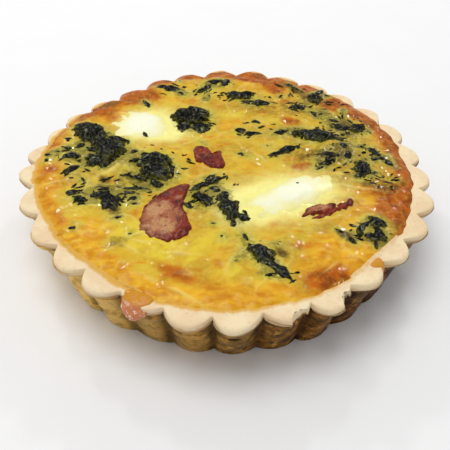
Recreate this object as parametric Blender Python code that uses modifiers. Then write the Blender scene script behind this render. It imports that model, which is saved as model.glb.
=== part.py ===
"""Individual quiche: a fluted shortcrust case filled with set egg custard, spinach, soft cheese and dried tomato.

Lengths are in metres and +Z is up. The origin is the middle of the flat underside, where the quiche
stands. -Y is the side that shows its wall in the photograph.
"""

import math
import random

import bmesh
import bpy
from mathutils import Vector, noise

MM = 0.001
GAP = 0.3 * MM
CUT_GAP = 0.4 * MM

# Pastry case
FLUTES = 30
STEPS_PER_FLUTE = 6
FIRST_NOTCH = math.radians(267)
RIM_HEIGHT = 20.2 * MM
RIM_TIP_RADIUS = 60.8 * MM
RIM_NOTCH_RADIUS = 56.6 * MM
BASE_TIP_RADIUS = 53.2 * MM
BASE_NOTCH_RADIUS = 51.4 * MM
BASE_THICKNESS = 3.6 * MM
FOOT_ROUNDING = 1.2 * MM
LIP_HEIGHT = 2.6 * MM
LIP_OVERHANG = 1.1 * MM
LIP_TUCK = 0.9 * MM
LIP_FILLET = 0.5 * MM
RIM_ROUNDING = 1.6 * MM
RIM_INNER_RADIUS = 54.4 * MM
BASE_INNER_RADIUS = 49.6 * MM
INNER_BEVEL = 0.6 * MM
LOBE_ROUNDNESS = 0.68
LOBE_UNEVENNESS = 0.12
RIM_UNEVENNESS = 0.35 * MM
# How far the rim stands out from or inside a true circle: angle, distance in millimetres, spread
SWELLS = ((82, 1.6, 12), (133, -2.8, 20), (179, 1.4, 12), (228, -1.4, 16), (267, 0.9, 12), (316, -1.4, 12))
DRIFT_CENTRE = math.radians(190)
DRIFT_SPREAD = math.radians(24)
DRIFT = math.radians(5)

# Egg custard
CUSTARD_STEPS = 72
CUSTARD_RINGS = 5
CUSTARD_EDGE_HEIGHT = 20.5 * MM
CUSTARD_DOME = 0.7 * MM
CUSTARD_WAVES = 0.35 * MM
CUSTARD_WAVE_LENGTH = 13 * MM
SPILL_CLEARANCE = 1.0 * MM
FRONT_EDGE_RADIUS = 55.2 * MM
BACK_EDGE_RADIUS = 59.6 * MM
FAR_SIDE = math.radians(105)
BACK_PUFF = 0.9 * MM
PUFF_RADIUS = 50 * MM
PUFF_WIDTH = 5 * MM
EDGE_THICKNESS = 0.5 * MM
EDGE_SLOPE = 1.0 * MM
EDGE_RIPPLE = 0.7 * MM
RING_STRETCH_FROM = 0.7

# Custard that ran over the rim: angle, radius, height, length, width, thickness and downward tilt
RUNS = (
    (248.2, 56.8, 19.0, 10.6, 8.6, 4.8, 28),
    (314.2, 54.8, 19.4, 6.4, 4.4, 3.6, 28),
)

# Pieces in the custard: name, x, y, length, width, height, turn, bend and rise, in millimetres and degrees.
# The bend is how far the middle lies to one side of the ends, and the rise how far the top stands up.
CHEESE = (
    ("cheese_left", -27.2, 23.0, 18, 16.5, 8, 12, 0, 1.5),
    ("cheese_right", 18.6, -13.2, 30, 15.5, 8, 21, 0, 1.6),
)
SPINACH_HEAPS = (
    ("spinach_left", -40.3, 9.4, 22, 10.5, 5, -67, 5, 2.6),
    ("spinach_centre", -21.0, -3.2, 16, 12, 6.5, 8, 0, 2.8),
)
SPINACH_LEAVES = (
    ("spinach_back", -11.4, 23.8, 11.5, 12, 6.5, 0, 0, 3.0),
    ("spinach_front_left", -34.2, -16.6, 15, 8, 5.5, -30, 1, 2.0),
    ("spinach_middle", -4.4, -11.0, 12, 8.5, 5.5, 44, 0, 2.2),
    ("spinach_left_rim", -48.4, 0.4, 9, 6, 4, 15, 0, 1.4),
    ("spinach_diagonal", 2.2, -21.6, 13, 5.5, 5, -60, 1, 2.0),
    ("spinach_front", 11.0, -39.8, 18, 6, 5, -42, 1, 2.0),
    ("spinach_front_right", 38.8, -27.4, 9.5, 8.5, 4.5, 20, 0, 1.8),
    ("spinach_bar", 28.8, 16.4, 17, 5.5, 4.5, -16, 1, 1.9),
    ("spinach_strip", 17.6, 8.2, 13, 4, 4, 32, 0, 1.5),
    ("spinach_right", 29.6, 3.2, 12, 7, 4.5, 40, 0, 1.6),
    ("spinach_oval", 40.2, -0.6, 8.5, 6, 4.5, 96, 0, 1.6),
    ("spinach_far_right", 40.8, 23.0, 12, 5.5, 4.5, -34, 1, 1.8),
    ("spinach_back_middle", 7.2, 38.4, 16, 6.5, 4.5, -24, 1, 1.8),
    ("spinach_back_left", -20.4, 44.4, 12, 4.5, 2.8, -16, 0, 1.4),
    ("spinach_back_top", -4.6, 47.4, 13, 4.5, 2.8, 34, 0, 1.4),
    ("spinach_back_right", 29.8, 39.8, 9.5, 5, 3, 46, 0.5, 1.6),
)
# x, y, length, width and turn of each shred
SHREDS = (
    (-40.6, -26.6, 7, 2.0, -10), (-24.8, -13.0, 7, 2.2, -14), (-44.6, -11.4, 5, 2.2, 10),
    (-28.2, -24.4, 4, 1.8, 5), (6.4, -29.8, 4, 2.2, -55), (30.2, -29.6, 6, 2.4, -30),
    (17.2, 18.9, 8, 3.4, -34), (5.6, 17.8, 7, 2.6, -18), (23.2, 33.4, 8, 4.2, 4),
    (23.2, 47.8, 9, 2.6, -54), (29.4, 32.6, 5, 2.6, -30), (37.0, 8.4, 8, 3.2, 82),
    (46.6, 5.0, 9, 2.4, -44), (-7.0, 41.3, 5, 2.4, 30), (-51.4, 8.8, 5, 1.8, 4),
    (-27.2, 13.8, 4, 1.6, -40), (-44.0, -3.6, 5, 2.2, -20), (8.6, 5.4, 6, 2.0, -36),
)
SHRED_HEIGHT = 1.4 * MM
SHRED_RISE = 0.9 * MM
SHRED_WAVE = 0.5 * MM

# Dried tomato: corners of a torn slice seen from above, and a curled strip
TOMATO_THICKNESS = 4.4 * MM
TOMATO_ROUNDING = 1.3 * MM
TOMATO_BUCKLE = 0.7 * MM
TOMATO_BUCKLE_LENGTH = 4 * MM
TOMATO_RISE = 1.9 * MM
TOMATO_LARGE_AT = (-16.0, -21.8)
TOMATO_LARGE_OUTLINE = (
    (-7.6, -1.6), (-4.4, 5.2), (1.2, 8.6), (5.0, 13.0), (4.6, 6.8),
    (6.0, 0.8), (7.0, -5.2), (0.6, -9.4), (-5.8, -6.4),
)
TOMATO_MIDDLE_AT = (-5.4, 3.9)
TOMATO_MIDDLE_OUTLINE = (
    (-5.4, 5.2), (-1.6, 5.0), (1.6, 2.0), (5.0, 3.2), (5.4, -2.2), (0.0, -4.4), (-4.4, -1.0),
)
# x, y, length, width and turn of the strip
TOMATO_STRIP = (28.6, -20.9, 14.5, 4.2, 29)
STRIP_RISE = 1.5 * MM
STRIP_WAVE = 0.9 * MM

PASTRY_COLOUR = (0.83, 0.66, 0.42, 1.0)
CUSTARD_COLOUR = (0.80, 0.48, 0.08, 1.0)
CHEESE_COLOUR = (0.90, 0.84, 0.55, 1.0)
SPINACH_COLOUR = (0.02, 0.035, 0.015, 1.0)
TOMATO_COLOUR = (0.33, 0.05, 0.03, 1.0)


def clear_scene():
    for obj in list(bpy.data.objects):
        bpy.data.objects.remove(obj, do_unlink=True)


def new_collection(name):
    collection = bpy.data.collections.new(name)
    bpy.context.scene.collection.children.link(collection)
    return collection


def food_material(name, colour, roughness):
    material = bpy.data.materials.new(name)
    material.use_nodes = True
    shader = material.node_tree.nodes["Principled BSDF"]
    shader.inputs["Base Color"].default_value = colour
    shader.inputs["Roughness"].default_value = roughness
    shader.inputs["Metallic"].default_value = 0.0
    return material


def object_from_bmesh(name, shape, collection, material=None):
    mesh = bpy.data.meshes.new(name)
    shape.to_mesh(mesh)
    shape.free()
    obj = bpy.data.objects.new(name, mesh)
    collection.objects.link(obj)
    if material:
        mesh.materials.append(material)
    return obj


def turned(name, profile, steps, collection, material):
    """The solid that a profile in the XZ plane, from the axis round to the axis, sweeps about Z."""
    mesh = bpy.data.meshes.new(name)
    links = [(i, i + 1) for i in range(len(profile) - 1)]
    mesh.from_pydata([(radius, 0.0, height) for radius, height in profile], links, [])
    obj = bpy.data.objects.new(name, mesh)
    collection.objects.link(obj)
    screw = obj.modifiers.new("turn", "SCREW")
    screw.angle = math.tau
    screw.steps = screw.render_steps = steps
    screw.use_merge_vertices = True
    screw.merge_threshold = 0.00001
    graph = bpy.context.evaluated_depsgraph_get()
    obj.data = bpy.data.meshes.new_from_object(obj.evaluated_get(graph))
    obj.data.name = name
    obj.modifiers.clear()
    obj.data.materials.append(material)
    return obj


def mix(a, b, share):
    return a + (b - a) * share


def drift(angle):
    """How far the flutes on the left have been pushed round from even spacing."""
    off = (angle - DRIFT_CENTRE + math.pi) % math.tau - math.pi
    return DRIFT * math.exp(-((off / DRIFT_SPREAD) ** 2))


def flute_phase(angle):
    """How many flutes lie between the first notch and this angle."""
    return ((angle + drift(angle) - FIRST_NOTCH) / math.tau * FLUTES) % FLUTES


def flute_angle(phase):
    """The angle that lies this many flutes past the first notch."""
    even = FIRST_NOTCH + phase * math.tau / FLUTES
    angle = even
    for _ in range(8):
        angle = even - drift(angle)
    return angle


def lobe(phase):
    """0 in a notch, about 1 at the tip of a lobe, and each lobe a little larger or smaller."""
    swell = math.sin(math.pi * (phase % 1.0)) ** LOBE_ROUNDNESS
    size = 1 + LOBE_UNEVENNESS * (random.Random(int(phase)).random() * 2 - 1)
    return swell * size


def swollen(angle, height):
    """The factor by which the rim's swells and dents widen the quiche at this angle and height."""
    reach = 0
    for degrees, distance, spread in SWELLS:
        off = (math.degrees(angle) - degrees + 180) % 360 - 180
        reach += distance * MM * math.exp(-((off / spread) ** 2))
    return 1 + reach / RIM_TIP_RADIUS * min(height / RIM_HEIGHT, 1)


def inner_radius(height):
    share = (height - BASE_THICKNESS) / (RIM_HEIGHT - BASE_THICKNESS)
    return mix(BASE_INNER_RADIUS, RIM_INNER_RADIUS, share)


def fluted(point):
    """Moves a point of the turned case in or out to its flute. The inner wall keeps its round shape."""
    radius = math.hypot(point.x, point.y)
    phase = (math.atan2(point.y, point.x) / math.tau * FLUTES) % FLUTES
    angle = flute_angle(phase)
    up = point.z / RIM_HEIGHT
    tip = mix(BASE_TIP_RADIUS, RIM_TIP_RADIUS, up)
    notch = mix(BASE_NOTCH_RADIUS, RIM_NOTCH_RADIUS, up)
    inner = inner_radius(point.z)
    outwards = max(0.0, min(1.0, (radius - inner) / (tip - inner)))
    moved = radius - outwards * (tip - notch) * (1 - lobe(phase))
    moved *= swollen(angle, point.z)
    return Vector((moved * math.cos(angle), moved * math.sin(angle), point.z + outwards * up * sag(angle)))


def sag(angle):
    """How much higher or lower than the mean the rim lies."""
    return RIM_UNEVENNESS * noise.noise(Vector((math.cos(angle), math.sin(angle), 0)) * 3)


def rim_outline(angle):
    return mix(RIM_NOTCH_RADIUS, RIM_TIP_RADIUS, lobe(flute_phase(angle)))


def build_crust(collection, material):
    under_lip = RIM_HEIGHT - LIP_HEIGHT
    wall_top = mix(BASE_TIP_RADIUS, RIM_TIP_RADIUS, under_lip / RIM_HEIGHT) - LIP_OVERHANG
    profile = [
        (0.0, BASE_THICKNESS),
        (BASE_INNER_RADIUS - FOOT_ROUNDING, BASE_THICKNESS),
        (inner_radius(BASE_THICKNESS + FOOT_ROUNDING), BASE_THICKNESS + FOOT_ROUNDING),
        (inner_radius(RIM_HEIGHT - INNER_BEVEL), RIM_HEIGHT - INNER_BEVEL),
        (RIM_INNER_RADIUS + INNER_BEVEL, RIM_HEIGHT),
        (RIM_TIP_RADIUS - RIM_ROUNDING, RIM_HEIGHT),
        (RIM_TIP_RADIUS - RIM_ROUNDING / 8, RIM_HEIGHT - RIM_ROUNDING / 2),
        (RIM_TIP_RADIUS - LIP_TUCK, under_lip + LIP_FILLET),
        (wall_top, under_lip - LIP_FILLET),
        (mix(BASE_TIP_RADIUS, wall_top, 0.5), under_lip / 2),
        (BASE_TIP_RADIUS, FOOT_ROUNDING),
        (BASE_TIP_RADIUS - FOOT_ROUNDING, 0.0),
        (0.0, 0.0),
    ]
    crust = turned("crust", profile, FLUTES * STEPS_PER_FLUTE, collection, material)
    for vertex in crust.data.vertices:
        vertex.co = fluted(vertex.co)
    return crust


def backness(angle):
    """0 on the near side, 1 at the far side, where the custard puffed up and ran over the rim."""
    return (0.5 + 0.5 * math.cos(angle - FAR_SIDE)) ** 3


def custard_height(x, y):
    radius, angle = math.hypot(x, y), math.atan2(y, x)
    dome = CUSTARD_DOME * (1 - (radius / FRONT_EDGE_RADIUS) ** 2)
    puff = BACK_PUFF * backness(angle) * math.exp(-(((radius - PUFF_RADIUS) / PUFF_WIDTH) ** 2))
    waves = CUSTARD_WAVES * noise.noise(Vector((x, y, 0)) / CUSTARD_WAVE_LENGTH)
    return CUSTARD_EDGE_HEIGHT + max(dome, 0) + puff + waves


def custard_edge(angle):
    """How far out the custard reaches on top of the rim."""
    ripple = EDGE_RIPPLE * noise.noise(Vector((math.cos(angle), math.sin(angle), 2)) * 5)
    reach = mix(FRONT_EDGE_RADIUS, BACK_EDGE_RADIUS, backness(angle)) + ripple
    return min(reach, rim_outline(angle) - SPILL_CLEARANCE)


def build_custard(collection, material):
    """The top is a turned disc whose edge is then moved to where the custard ran, over the rim."""
    mean_edge = FRONT_EDGE_RADIUS
    half_edge = EDGE_THICKNESS / 2
    edge_top = CUSTARD_EDGE_HEIGHT + half_edge
    underside = RIM_HEIGHT + GAP
    neck = underside - 0.1 * MM
    bevel_foot = RIM_HEIGHT - INNER_BEVEL
    profile = [(mean_edge * i / CUSTARD_RINGS, edge_top) for i in range(CUSTARD_RINGS)]
    profile += [
        (mean_edge - EDGE_SLOPE, edge_top),
        (mean_edge, underside + half_edge),
        (mean_edge - half_edge, underside),
        (RIM_INNER_RADIUS, neck),
        (inner_radius(bevel_foot) - GAP, bevel_foot),
        (inner_radius(BASE_THICKNESS + FOOT_ROUNDING) - GAP, BASE_THICKNESS + FOOT_ROUNDING),
        (BASE_INNER_RADIUS - FOOT_ROUNDING - GAP, BASE_THICKNESS + GAP),
        (0.0, BASE_THICKNESS + GAP),
    ]
    custard = turned("custard", profile, CUSTARD_STEPS, collection, material)
    for vertex in custard.data.vertices:
        point = vertex.co
        radius, angle = math.hypot(point.x, point.y), math.atan2(point.y, point.x)
        lift = 0
        if point.z > (neck + underside) / 2:
            share = max(0.0, (radius / mean_edge - RING_STRETCH_FROM) / (1 - RING_STRETCH_FROM))
            radius += share * (custard_edge(angle) - mean_edge)
            lift = share * max(sag(angle), 0)
        radius *= swollen(angle, point.z)
        point.x, point.y = radius * math.cos(angle), radius * math.sin(angle)
        if point.z > edge_top - half_edge / 2:
            point.z = custard_height(point.x, point.y) + half_edge
        point.z += lift
    return custard


def craggy(length, width, height, bend, detail, roughness, seed):
    """A lump of the given size, with crags from noise, bent sideways."""
    shape = bmesh.new()
    bmesh.ops.create_icosphere(shape, subdivisions=detail, radius=0.5)
    for vertex in shape.verts:
        towards = vertex.co.normalized()
        crag = noise.noise(towards * 2.3 + Vector((seed * 3.1, 0, 0)))
        ridge = 1 - abs(noise.noise(towards * 3.7 + Vector((0, seed * 2.7, 0)))) * 2
        vertex.co *= 1 + roughness * (crag + 0.35 * ridge)
    bmesh.ops.scale(shape, vec=(length, width, height), verts=shape.verts)
    for vertex in shape.verts:
        vertex.co.y += bend * (0.5 - (2 * vertex.co.x / length) ** 2)
    return shape


def put(obj, x, y, height, turn, rise):
    """Turns a piece and sinks it into the custard, so that its top stands the rise above it."""
    top = custard_height(x, y) + rise
    obj.location = (x, y, top - height / 2)
    obj.rotation_euler = (0, 0, math.radians(turn))


def lumps(pieces, detail, roughness, collection, material):
    made = []
    for seed, (name, x, y, length, width, height, turn, bend, rise) in enumerate(pieces):
        size = (length * MM, width * MM, height * MM)
        shape = craggy(*size, bend * MM, detail, roughness, seed + detail)
        obj = object_from_bmesh(name, shape, collection, material)
        put(obj, x * MM, y * MM, height * MM, turn, rise * MM)
        made.append(obj)
    return made


def torn_slice(name, at, outline, collection, material):
    """A slab with the torn outline, its upper edge rounded and its face buckled."""
    shape = bmesh.new()
    face = shape.faces.new([shape.verts.new((x * MM, y * MM, 0)) for x, y in outline])
    risen = bmesh.ops.extrude_face_region(shape, geom=[face])["geom"]
    top = [item for item in risen if isinstance(item, bmesh.types.BMVert)]
    bmesh.ops.translate(shape, vec=(0, 0, TOMATO_THICKNESS), verts=top)
    bmesh.ops.recalc_face_normals(shape, faces=shape.faces)
    rim = [edge for edge in shape.edges if all(vertex in top for vertex in edge.verts)]
    bmesh.ops.bevel(
        shape, geom=rim, offset=TOMATO_ROUNDING, segments=2, profile=0.5, affect="EDGES", material=-1
    )
    bmesh.ops.triangulate(shape, faces=shape.faces)
    long_edges = [edge for edge in shape.edges if edge.calc_length() > TOMATO_BUCKLE_LENGTH]
    bmesh.ops.subdivide_edges(shape, edges=long_edges, cuts=1, use_grid_fill=False)
    bmesh.ops.triangulate(shape, faces=shape.faces)
    for vertex in shape.verts:
        if vertex.co.z > TOMATO_THICKNESS / 2:
            vertex.co.z += TOMATO_BUCKLE * noise.noise(vertex.co / TOMATO_BUCKLE_LENGTH)
    obj = object_from_bmesh(name, shape, collection, material)
    x, y = at[0] * MM, at[1] * MM
    obj.location = (x, y, custard_height(x, y) + TOMATO_RISE - TOMATO_THICKNESS)
    return obj


def wavy_strip(length, width, height, cuts, wave):
    """A strip that narrows to its ends and bends from side to side."""
    shape = bmesh.new()
    bmesh.ops.create_cube(shape, size=1.0)
    along = [e for e in shape.edges if abs(e.verts[0].co.x - e.verts[1].co.x) > 0.5]
    bmesh.ops.subdivide_edges(shape, edges=along, cuts=cuts)
    for vertex in shape.verts:
        share = vertex.co.x * 2
        narrowing = 1 - 0.55 * share * share
        vertex.co.y *= narrowing
        vertex.co.z *= narrowing
    bmesh.ops.scale(shape, vec=(length, width, height), verts=shape.verts)
    for vertex in shape.verts:
        vertex.co.y += wave * math.sin(vertex.co.x / length * math.tau)
    bmesh.ops.triangulate(shape, faces=shape.faces)
    return shape


def build_tomato(collection, material):
    slices = [
        torn_slice("tomato_large", TOMATO_LARGE_AT, TOMATO_LARGE_OUTLINE, collection, material),
        torn_slice("tomato_middle", TOMATO_MIDDLE_AT, TOMATO_MIDDLE_OUTLINE, collection, material),
    ]
    x, y, length, width, turn = TOMATO_STRIP
    shape = wavy_strip(length * MM, width * MM, TOMATO_THICKNESS, 6, STRIP_WAVE)
    strip = object_from_bmesh("tomato_strip", shape, collection, material)
    put(strip, x * MM, y * MM, TOMATO_THICKNESS, turn, STRIP_RISE)
    return [*slices, strip]


def build_runs(name, growth, collection):
    """The custard that ran over the rim: flattened drops, tipped outwards."""
    for number, (degrees, radius, height, length, width, thickness, tilt) in enumerate(RUNS):
        angle = math.radians(degrees)
        shape = bmesh.new()
        bmesh.ops.create_icosphere(shape, subdivisions=2, radius=0.5)
        size = [side * MM + 2 * growth for side in (length, width, thickness)]
        bmesh.ops.scale(shape, vec=size, verts=shape.verts)
        obj = object_from_bmesh(f"{name}_{number}", shape, collection)
        obj.location = (radius * MM * math.cos(angle), radius * MM * math.sin(angle), height * MM)
        obj.rotation_euler = (0, math.radians(tilt), angle)


def grown_copy(obj, collection):
    """A cutter: the piece, pushed out along its normals by the gap."""
    cutter = obj.copy()
    cutter.name = "cutter_" + obj.name
    cutter.data = obj.data.copy()
    for child in list(cutter.users_collection):
        child.objects.unlink(cutter)
    collection.objects.link(cutter)
    swell = cutter.modifiers.new("swell", "DISPLACE")
    swell.strength = CUT_GAP
    swell.mid_level = 0.0
    return cutter


def boolean(obj, collection, operation):
    """Cuts or joins every object of a collection, then applies the result."""
    modifier = obj.modifiers.new(operation.lower(), "BOOLEAN")
    modifier.operand_type = "COLLECTION"
    modifier.collection = collection
    modifier.operation = operation
    modifier.solver = "EXACT"
    bpy.context.view_layer.update()
    graph = bpy.context.evaluated_depsgraph_get()
    mesh = bpy.data.meshes.new_from_object(obj.evaluated_get(graph))
    obj.modifiers.clear()
    obj.data = mesh


def remove_objects(collection):
    for obj in list(collection.objects):
        bpy.data.objects.remove(obj, do_unlink=True)
    bpy.data.collections.remove(collection)


def build_shreds(collection):
    """Chopped spinach too small to be pieces of their own: strips half sunk in the custard."""
    for number, (x, y, length, width, turn) in enumerate(SHREDS):
        shape = wavy_strip(length * MM, width * MM, SHRED_HEIGHT, 2, SHRED_WAVE)
        strip = object_from_bmesh(f"shred_{number}", shape, collection)
        put(strip, x * MM, y * MM, SHRED_HEIGHT, turn, SHRED_RISE)


def shade(collection):
    for obj in collection.objects:
        obj.data.shade_smooth()
        obj.data.set_sharp_from_angle(angle=math.radians(40))


def main():
    clear_scene()
    quiche = new_collection("quiche")
    pockets = new_collection("pockets")
    runs = new_collection("custard_runs")
    rim_cut = new_collection("rim_cut")

    pastry = food_material("pastry", PASTRY_COLOUR, 0.7)
    egg = food_material("egg_custard", CUSTARD_COLOUR, 0.35)
    cheese = food_material("soft_cheese", CHEESE_COLOUR, 0.45)
    leaf = food_material("spinach", SPINACH_COLOUR, 0.4)
    tomato = food_material("dried_tomato", TOMATO_COLOUR, 0.35)

    crust = build_crust(quiche, pastry)
    custard = build_custard(quiche, egg)

    pieces = lumps(CHEESE, 2, 0.14, quiche, cheese)
    pieces += lumps(SPINACH_HEAPS, 3, 0.34, quiche, leaf)
    pieces += lumps(SPINACH_LEAVES, 2, 0.30, quiche, leaf)
    pieces += build_tomato(quiche, tomato)

    build_runs("run", 0.0, runs)
    build_runs("run_cutter", CUT_GAP, rim_cut)
    build_shreds(runs)
    for piece in pieces:
        grown_copy(piece, pockets)

    boolean(custard, runs, "UNION")
    boolean(crust, rim_cut, "DIFFERENCE")
    boolean(custard, pockets, "DIFFERENCE")
    for helpers in (runs, rim_cut, pockets):
        remove_objects(helpers)
    shade(quiche)


main()
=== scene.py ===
"""Looks of an individual quiche: baked shortcrust, browned egg custard, spinach, soft cheese, dried tomato.

Lengths are in metres and +Z is up. Distances in the tables are millimetres and angles are degrees.
-Y is the side that shows its wall in the photograph. The sizes repeat those of the CAD model, but for a few,
such as the rim's inner radius and the custard's near edge, which were fitted to the photograph afterwards.
"""

import math
import random

import bmesh
import bpy
import numpy as np
from mathutils import Matrix, Vector, noise
from mathutils.geometry import intersect_line_line_2d


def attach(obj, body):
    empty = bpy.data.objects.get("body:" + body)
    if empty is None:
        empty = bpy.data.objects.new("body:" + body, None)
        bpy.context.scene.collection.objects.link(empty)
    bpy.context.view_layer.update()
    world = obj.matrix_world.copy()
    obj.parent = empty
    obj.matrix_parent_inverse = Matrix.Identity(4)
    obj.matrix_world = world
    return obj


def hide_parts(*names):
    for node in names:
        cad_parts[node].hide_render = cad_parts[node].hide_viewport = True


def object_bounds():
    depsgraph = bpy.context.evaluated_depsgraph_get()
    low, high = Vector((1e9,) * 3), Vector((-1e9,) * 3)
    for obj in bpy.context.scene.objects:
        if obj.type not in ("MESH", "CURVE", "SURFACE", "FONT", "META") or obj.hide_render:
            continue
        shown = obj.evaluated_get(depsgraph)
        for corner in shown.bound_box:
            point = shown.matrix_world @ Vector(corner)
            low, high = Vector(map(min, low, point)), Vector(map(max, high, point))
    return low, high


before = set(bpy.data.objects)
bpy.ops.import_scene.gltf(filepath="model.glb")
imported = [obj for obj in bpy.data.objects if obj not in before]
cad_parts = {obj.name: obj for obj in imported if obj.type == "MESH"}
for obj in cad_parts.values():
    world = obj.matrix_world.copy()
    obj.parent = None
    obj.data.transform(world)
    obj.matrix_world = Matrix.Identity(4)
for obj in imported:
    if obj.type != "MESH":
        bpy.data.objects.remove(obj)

CAD_LOW, CAD_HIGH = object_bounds()

MM = 0.001

# Pastry case
FLUTES = 30
STEPS_PER_FLUTE = 36
FIRST_NOTCH = math.radians(267)
RIM_HEIGHT = 20.2 * MM
RIM_TIP_RADIUS = 60.8 * MM
RIM_NOTCH_RADIUS = 56.6 * MM
BASE_TIP_RADIUS = 53.2 * MM
BASE_NOTCH_RADIUS = 51.4 * MM
BASE_THICKNESS = 3.6 * MM
FOOT_ROUNDING = 1.2 * MM
LIP_HEIGHT = 2.6 * MM
LIP_OVERHANG = 1.1 * MM
LIP_TUCK = 0.9 * MM
RIM_ROUNDING = 2.3 * MM
RIM_INNER_RADIUS = 53.0 * MM
BASE_INNER_RADIUS = 49.6 * MM
UNDER_LIP_ROUNDING = 0.9 * MM
LIP_EDGE_ROUNDING = 0.6 * MM
INNER_EDGE_INSET = 0.6 * MM
INNER_EDGE_DEPTH = 1.0 * MM
INNER_EDGE_ROUNDING = 0.3 * MM
# Spacing of the section's points where the case is plain and where it is shaped
COARSE_SPACING = 9 * MM
FINE_SPACING = 0.5 * MM
LOBE_ROUNDNESS = 0.56
NOTCH_ROUNDNESS = 0.42
LOBE_UNEVENNESS = 0.12
LOBE_LEAN = 0.22
LOBE_SIZES = [1 + LOBE_UNEVENNESS * (random.Random(number).random() * 2 - 1) for number in range(FLUTES)]
BROKEN_LOBE = 28
BROKEN_LOBE_SIZE = 0.6
LOBE_SIZES[BROKEN_LOBE] *= BROKEN_LOBE_SIZE
LOBE_LEANS = [1 + LOBE_LEAN * (random.Random(number + 100).random() * 2 - 1) for number in range(FLUTES)]
RIM_UNEVENNESS = 0.35 * MM
# Relief of the baked wall, the share of it on the rim, and how far the rim dips
LAYER_DEPTH = 0.46 * MM
LUMP_DEPTH = 0.20 * MM
GRAIN_DEPTH = 0.07 * MM
RIM_ROUGHNESS = 0.3
RIM_DIP = 0.12 * MM
# The side where no custard soaked into the rim, and those where the wall is palest and darkest, as painted
# light and painted shade
CLEAN_SIDE = math.radians(5)
LIT_WALL_SIDE = math.radians(215)
SHADED_WALL_SIDE = math.radians(325)
# Torn corners of the rim: x, y and size
CHIPS = ((18.6, -57.4, 3.0), (30.6, -51.4, 2.8))
CHIP_DEPTH = 2.3 * MM
# Slit in the near wall, dented in and painted near black as the shade inside it: x, height, half its width
# and half its height
SLIT = (2.1, 11.0, 2.4, 0.5)
SLIT_DEPTH = 0.9 * MM
# How far the rim stands out from or inside a true circle: angle, distance, spread
SWELLS = ((82, 1.6, 12), (133, -2.8, 20), (179, 1.4, 12), (228, -1.4, 16), (267, 0.9, 12), (316, -1.4, 12))
# Where and how far the flutes on the left were pushed round
DRIFT_CENTRE = math.radians(190)
DRIFT_SPREAD = math.radians(24)
DRIFT = math.radians(5)

# Egg custard
GRID_STEPS = 296
CUSTARD_EDGE_HEIGHT = 20.5 * MM
CUSTARD_DOME = 0.7 * MM
CUSTARD_WAVES = 0.35 * MM
CUSTARD_WAVE_LENGTH = 13 * MM
SPILL_CLEARANCE = 1.0 * MM
FRONT_EDGE_RADIUS = 54.5 * MM
BACK_EDGE_RADIUS = 59.6 * MM
FAR_SIDE = math.radians(105)
BACK_PUFF = 0.9 * MM
PUFF_RADIUS = 50 * MM
PUFF_WIDTH = 5 * MM
EDGE_THICKNESS = 0.5 * MM
EDGE_SLOPE = 3.4 * MM
SCORCHED_SIDE = math.radians(40)
EDGE_RIPPLE = 0.9 * MM
EDGE_FRAY = 0.6 * MM
# Relief of the custard's top and of its border: height, length of the waves and seed
RELIEF = ((0.48, 4.5, 3), (0.24, 1.9, 5))
BORDER_RELIEF = ((0.16, 0.9, 8), (0.14, 2.2, 11))
BORDER_WIDTH = 3 * MM
THREAD_HEIGHT = 0.30 * MM
EDGE_SUNK = 0.42 * MM
LEAF_HUMP = 0.18 * MM
BLISTER_COUNT = 110
BLISTER_REACH = 54
# How far each step of the custard's side goes down and in
CUSTARD_SIDE = ((0.3, 0.4), (0.6, 1.6), (3.0, 4.0), (9.0, 3.0))
# Custard that ran over the rim: how far a run is pressed flat, thinned and sunk inwards, and shortened
RUN_FLATNESS = 0.6
RUN_THINNING = 0.65
RUN_SINKING = 1.0 * MM
RUN_SHORTENING = 0.86
# Its places: angle, radius, height, length, width, thickness and downward tilt
RUNS = ((248.2, 56.8, 19.0, 10.6, 8.6, 4.8, 28), (314.2, 54.8, 19.4, 6.4, 4.4, 3.6, 28))

# Pieces in the custard
SKIRT_DEPTH = 1.2 * MM
SKIRT_INWARD = 0.12
LEAF_STEP = 0.32
LEAF_LENGTHENING = 1.06
LEAF_WIDENING = 1.22
LEAF_AREA_PER_SLIVER = 7
SHRED_THICKNESS = 0.8
LEAF_SUNK = 0.3 * MM
ON_CHEESE_LIFT = 0.7 * MM
SLAB_STEP = 0.3 * MM
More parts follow.
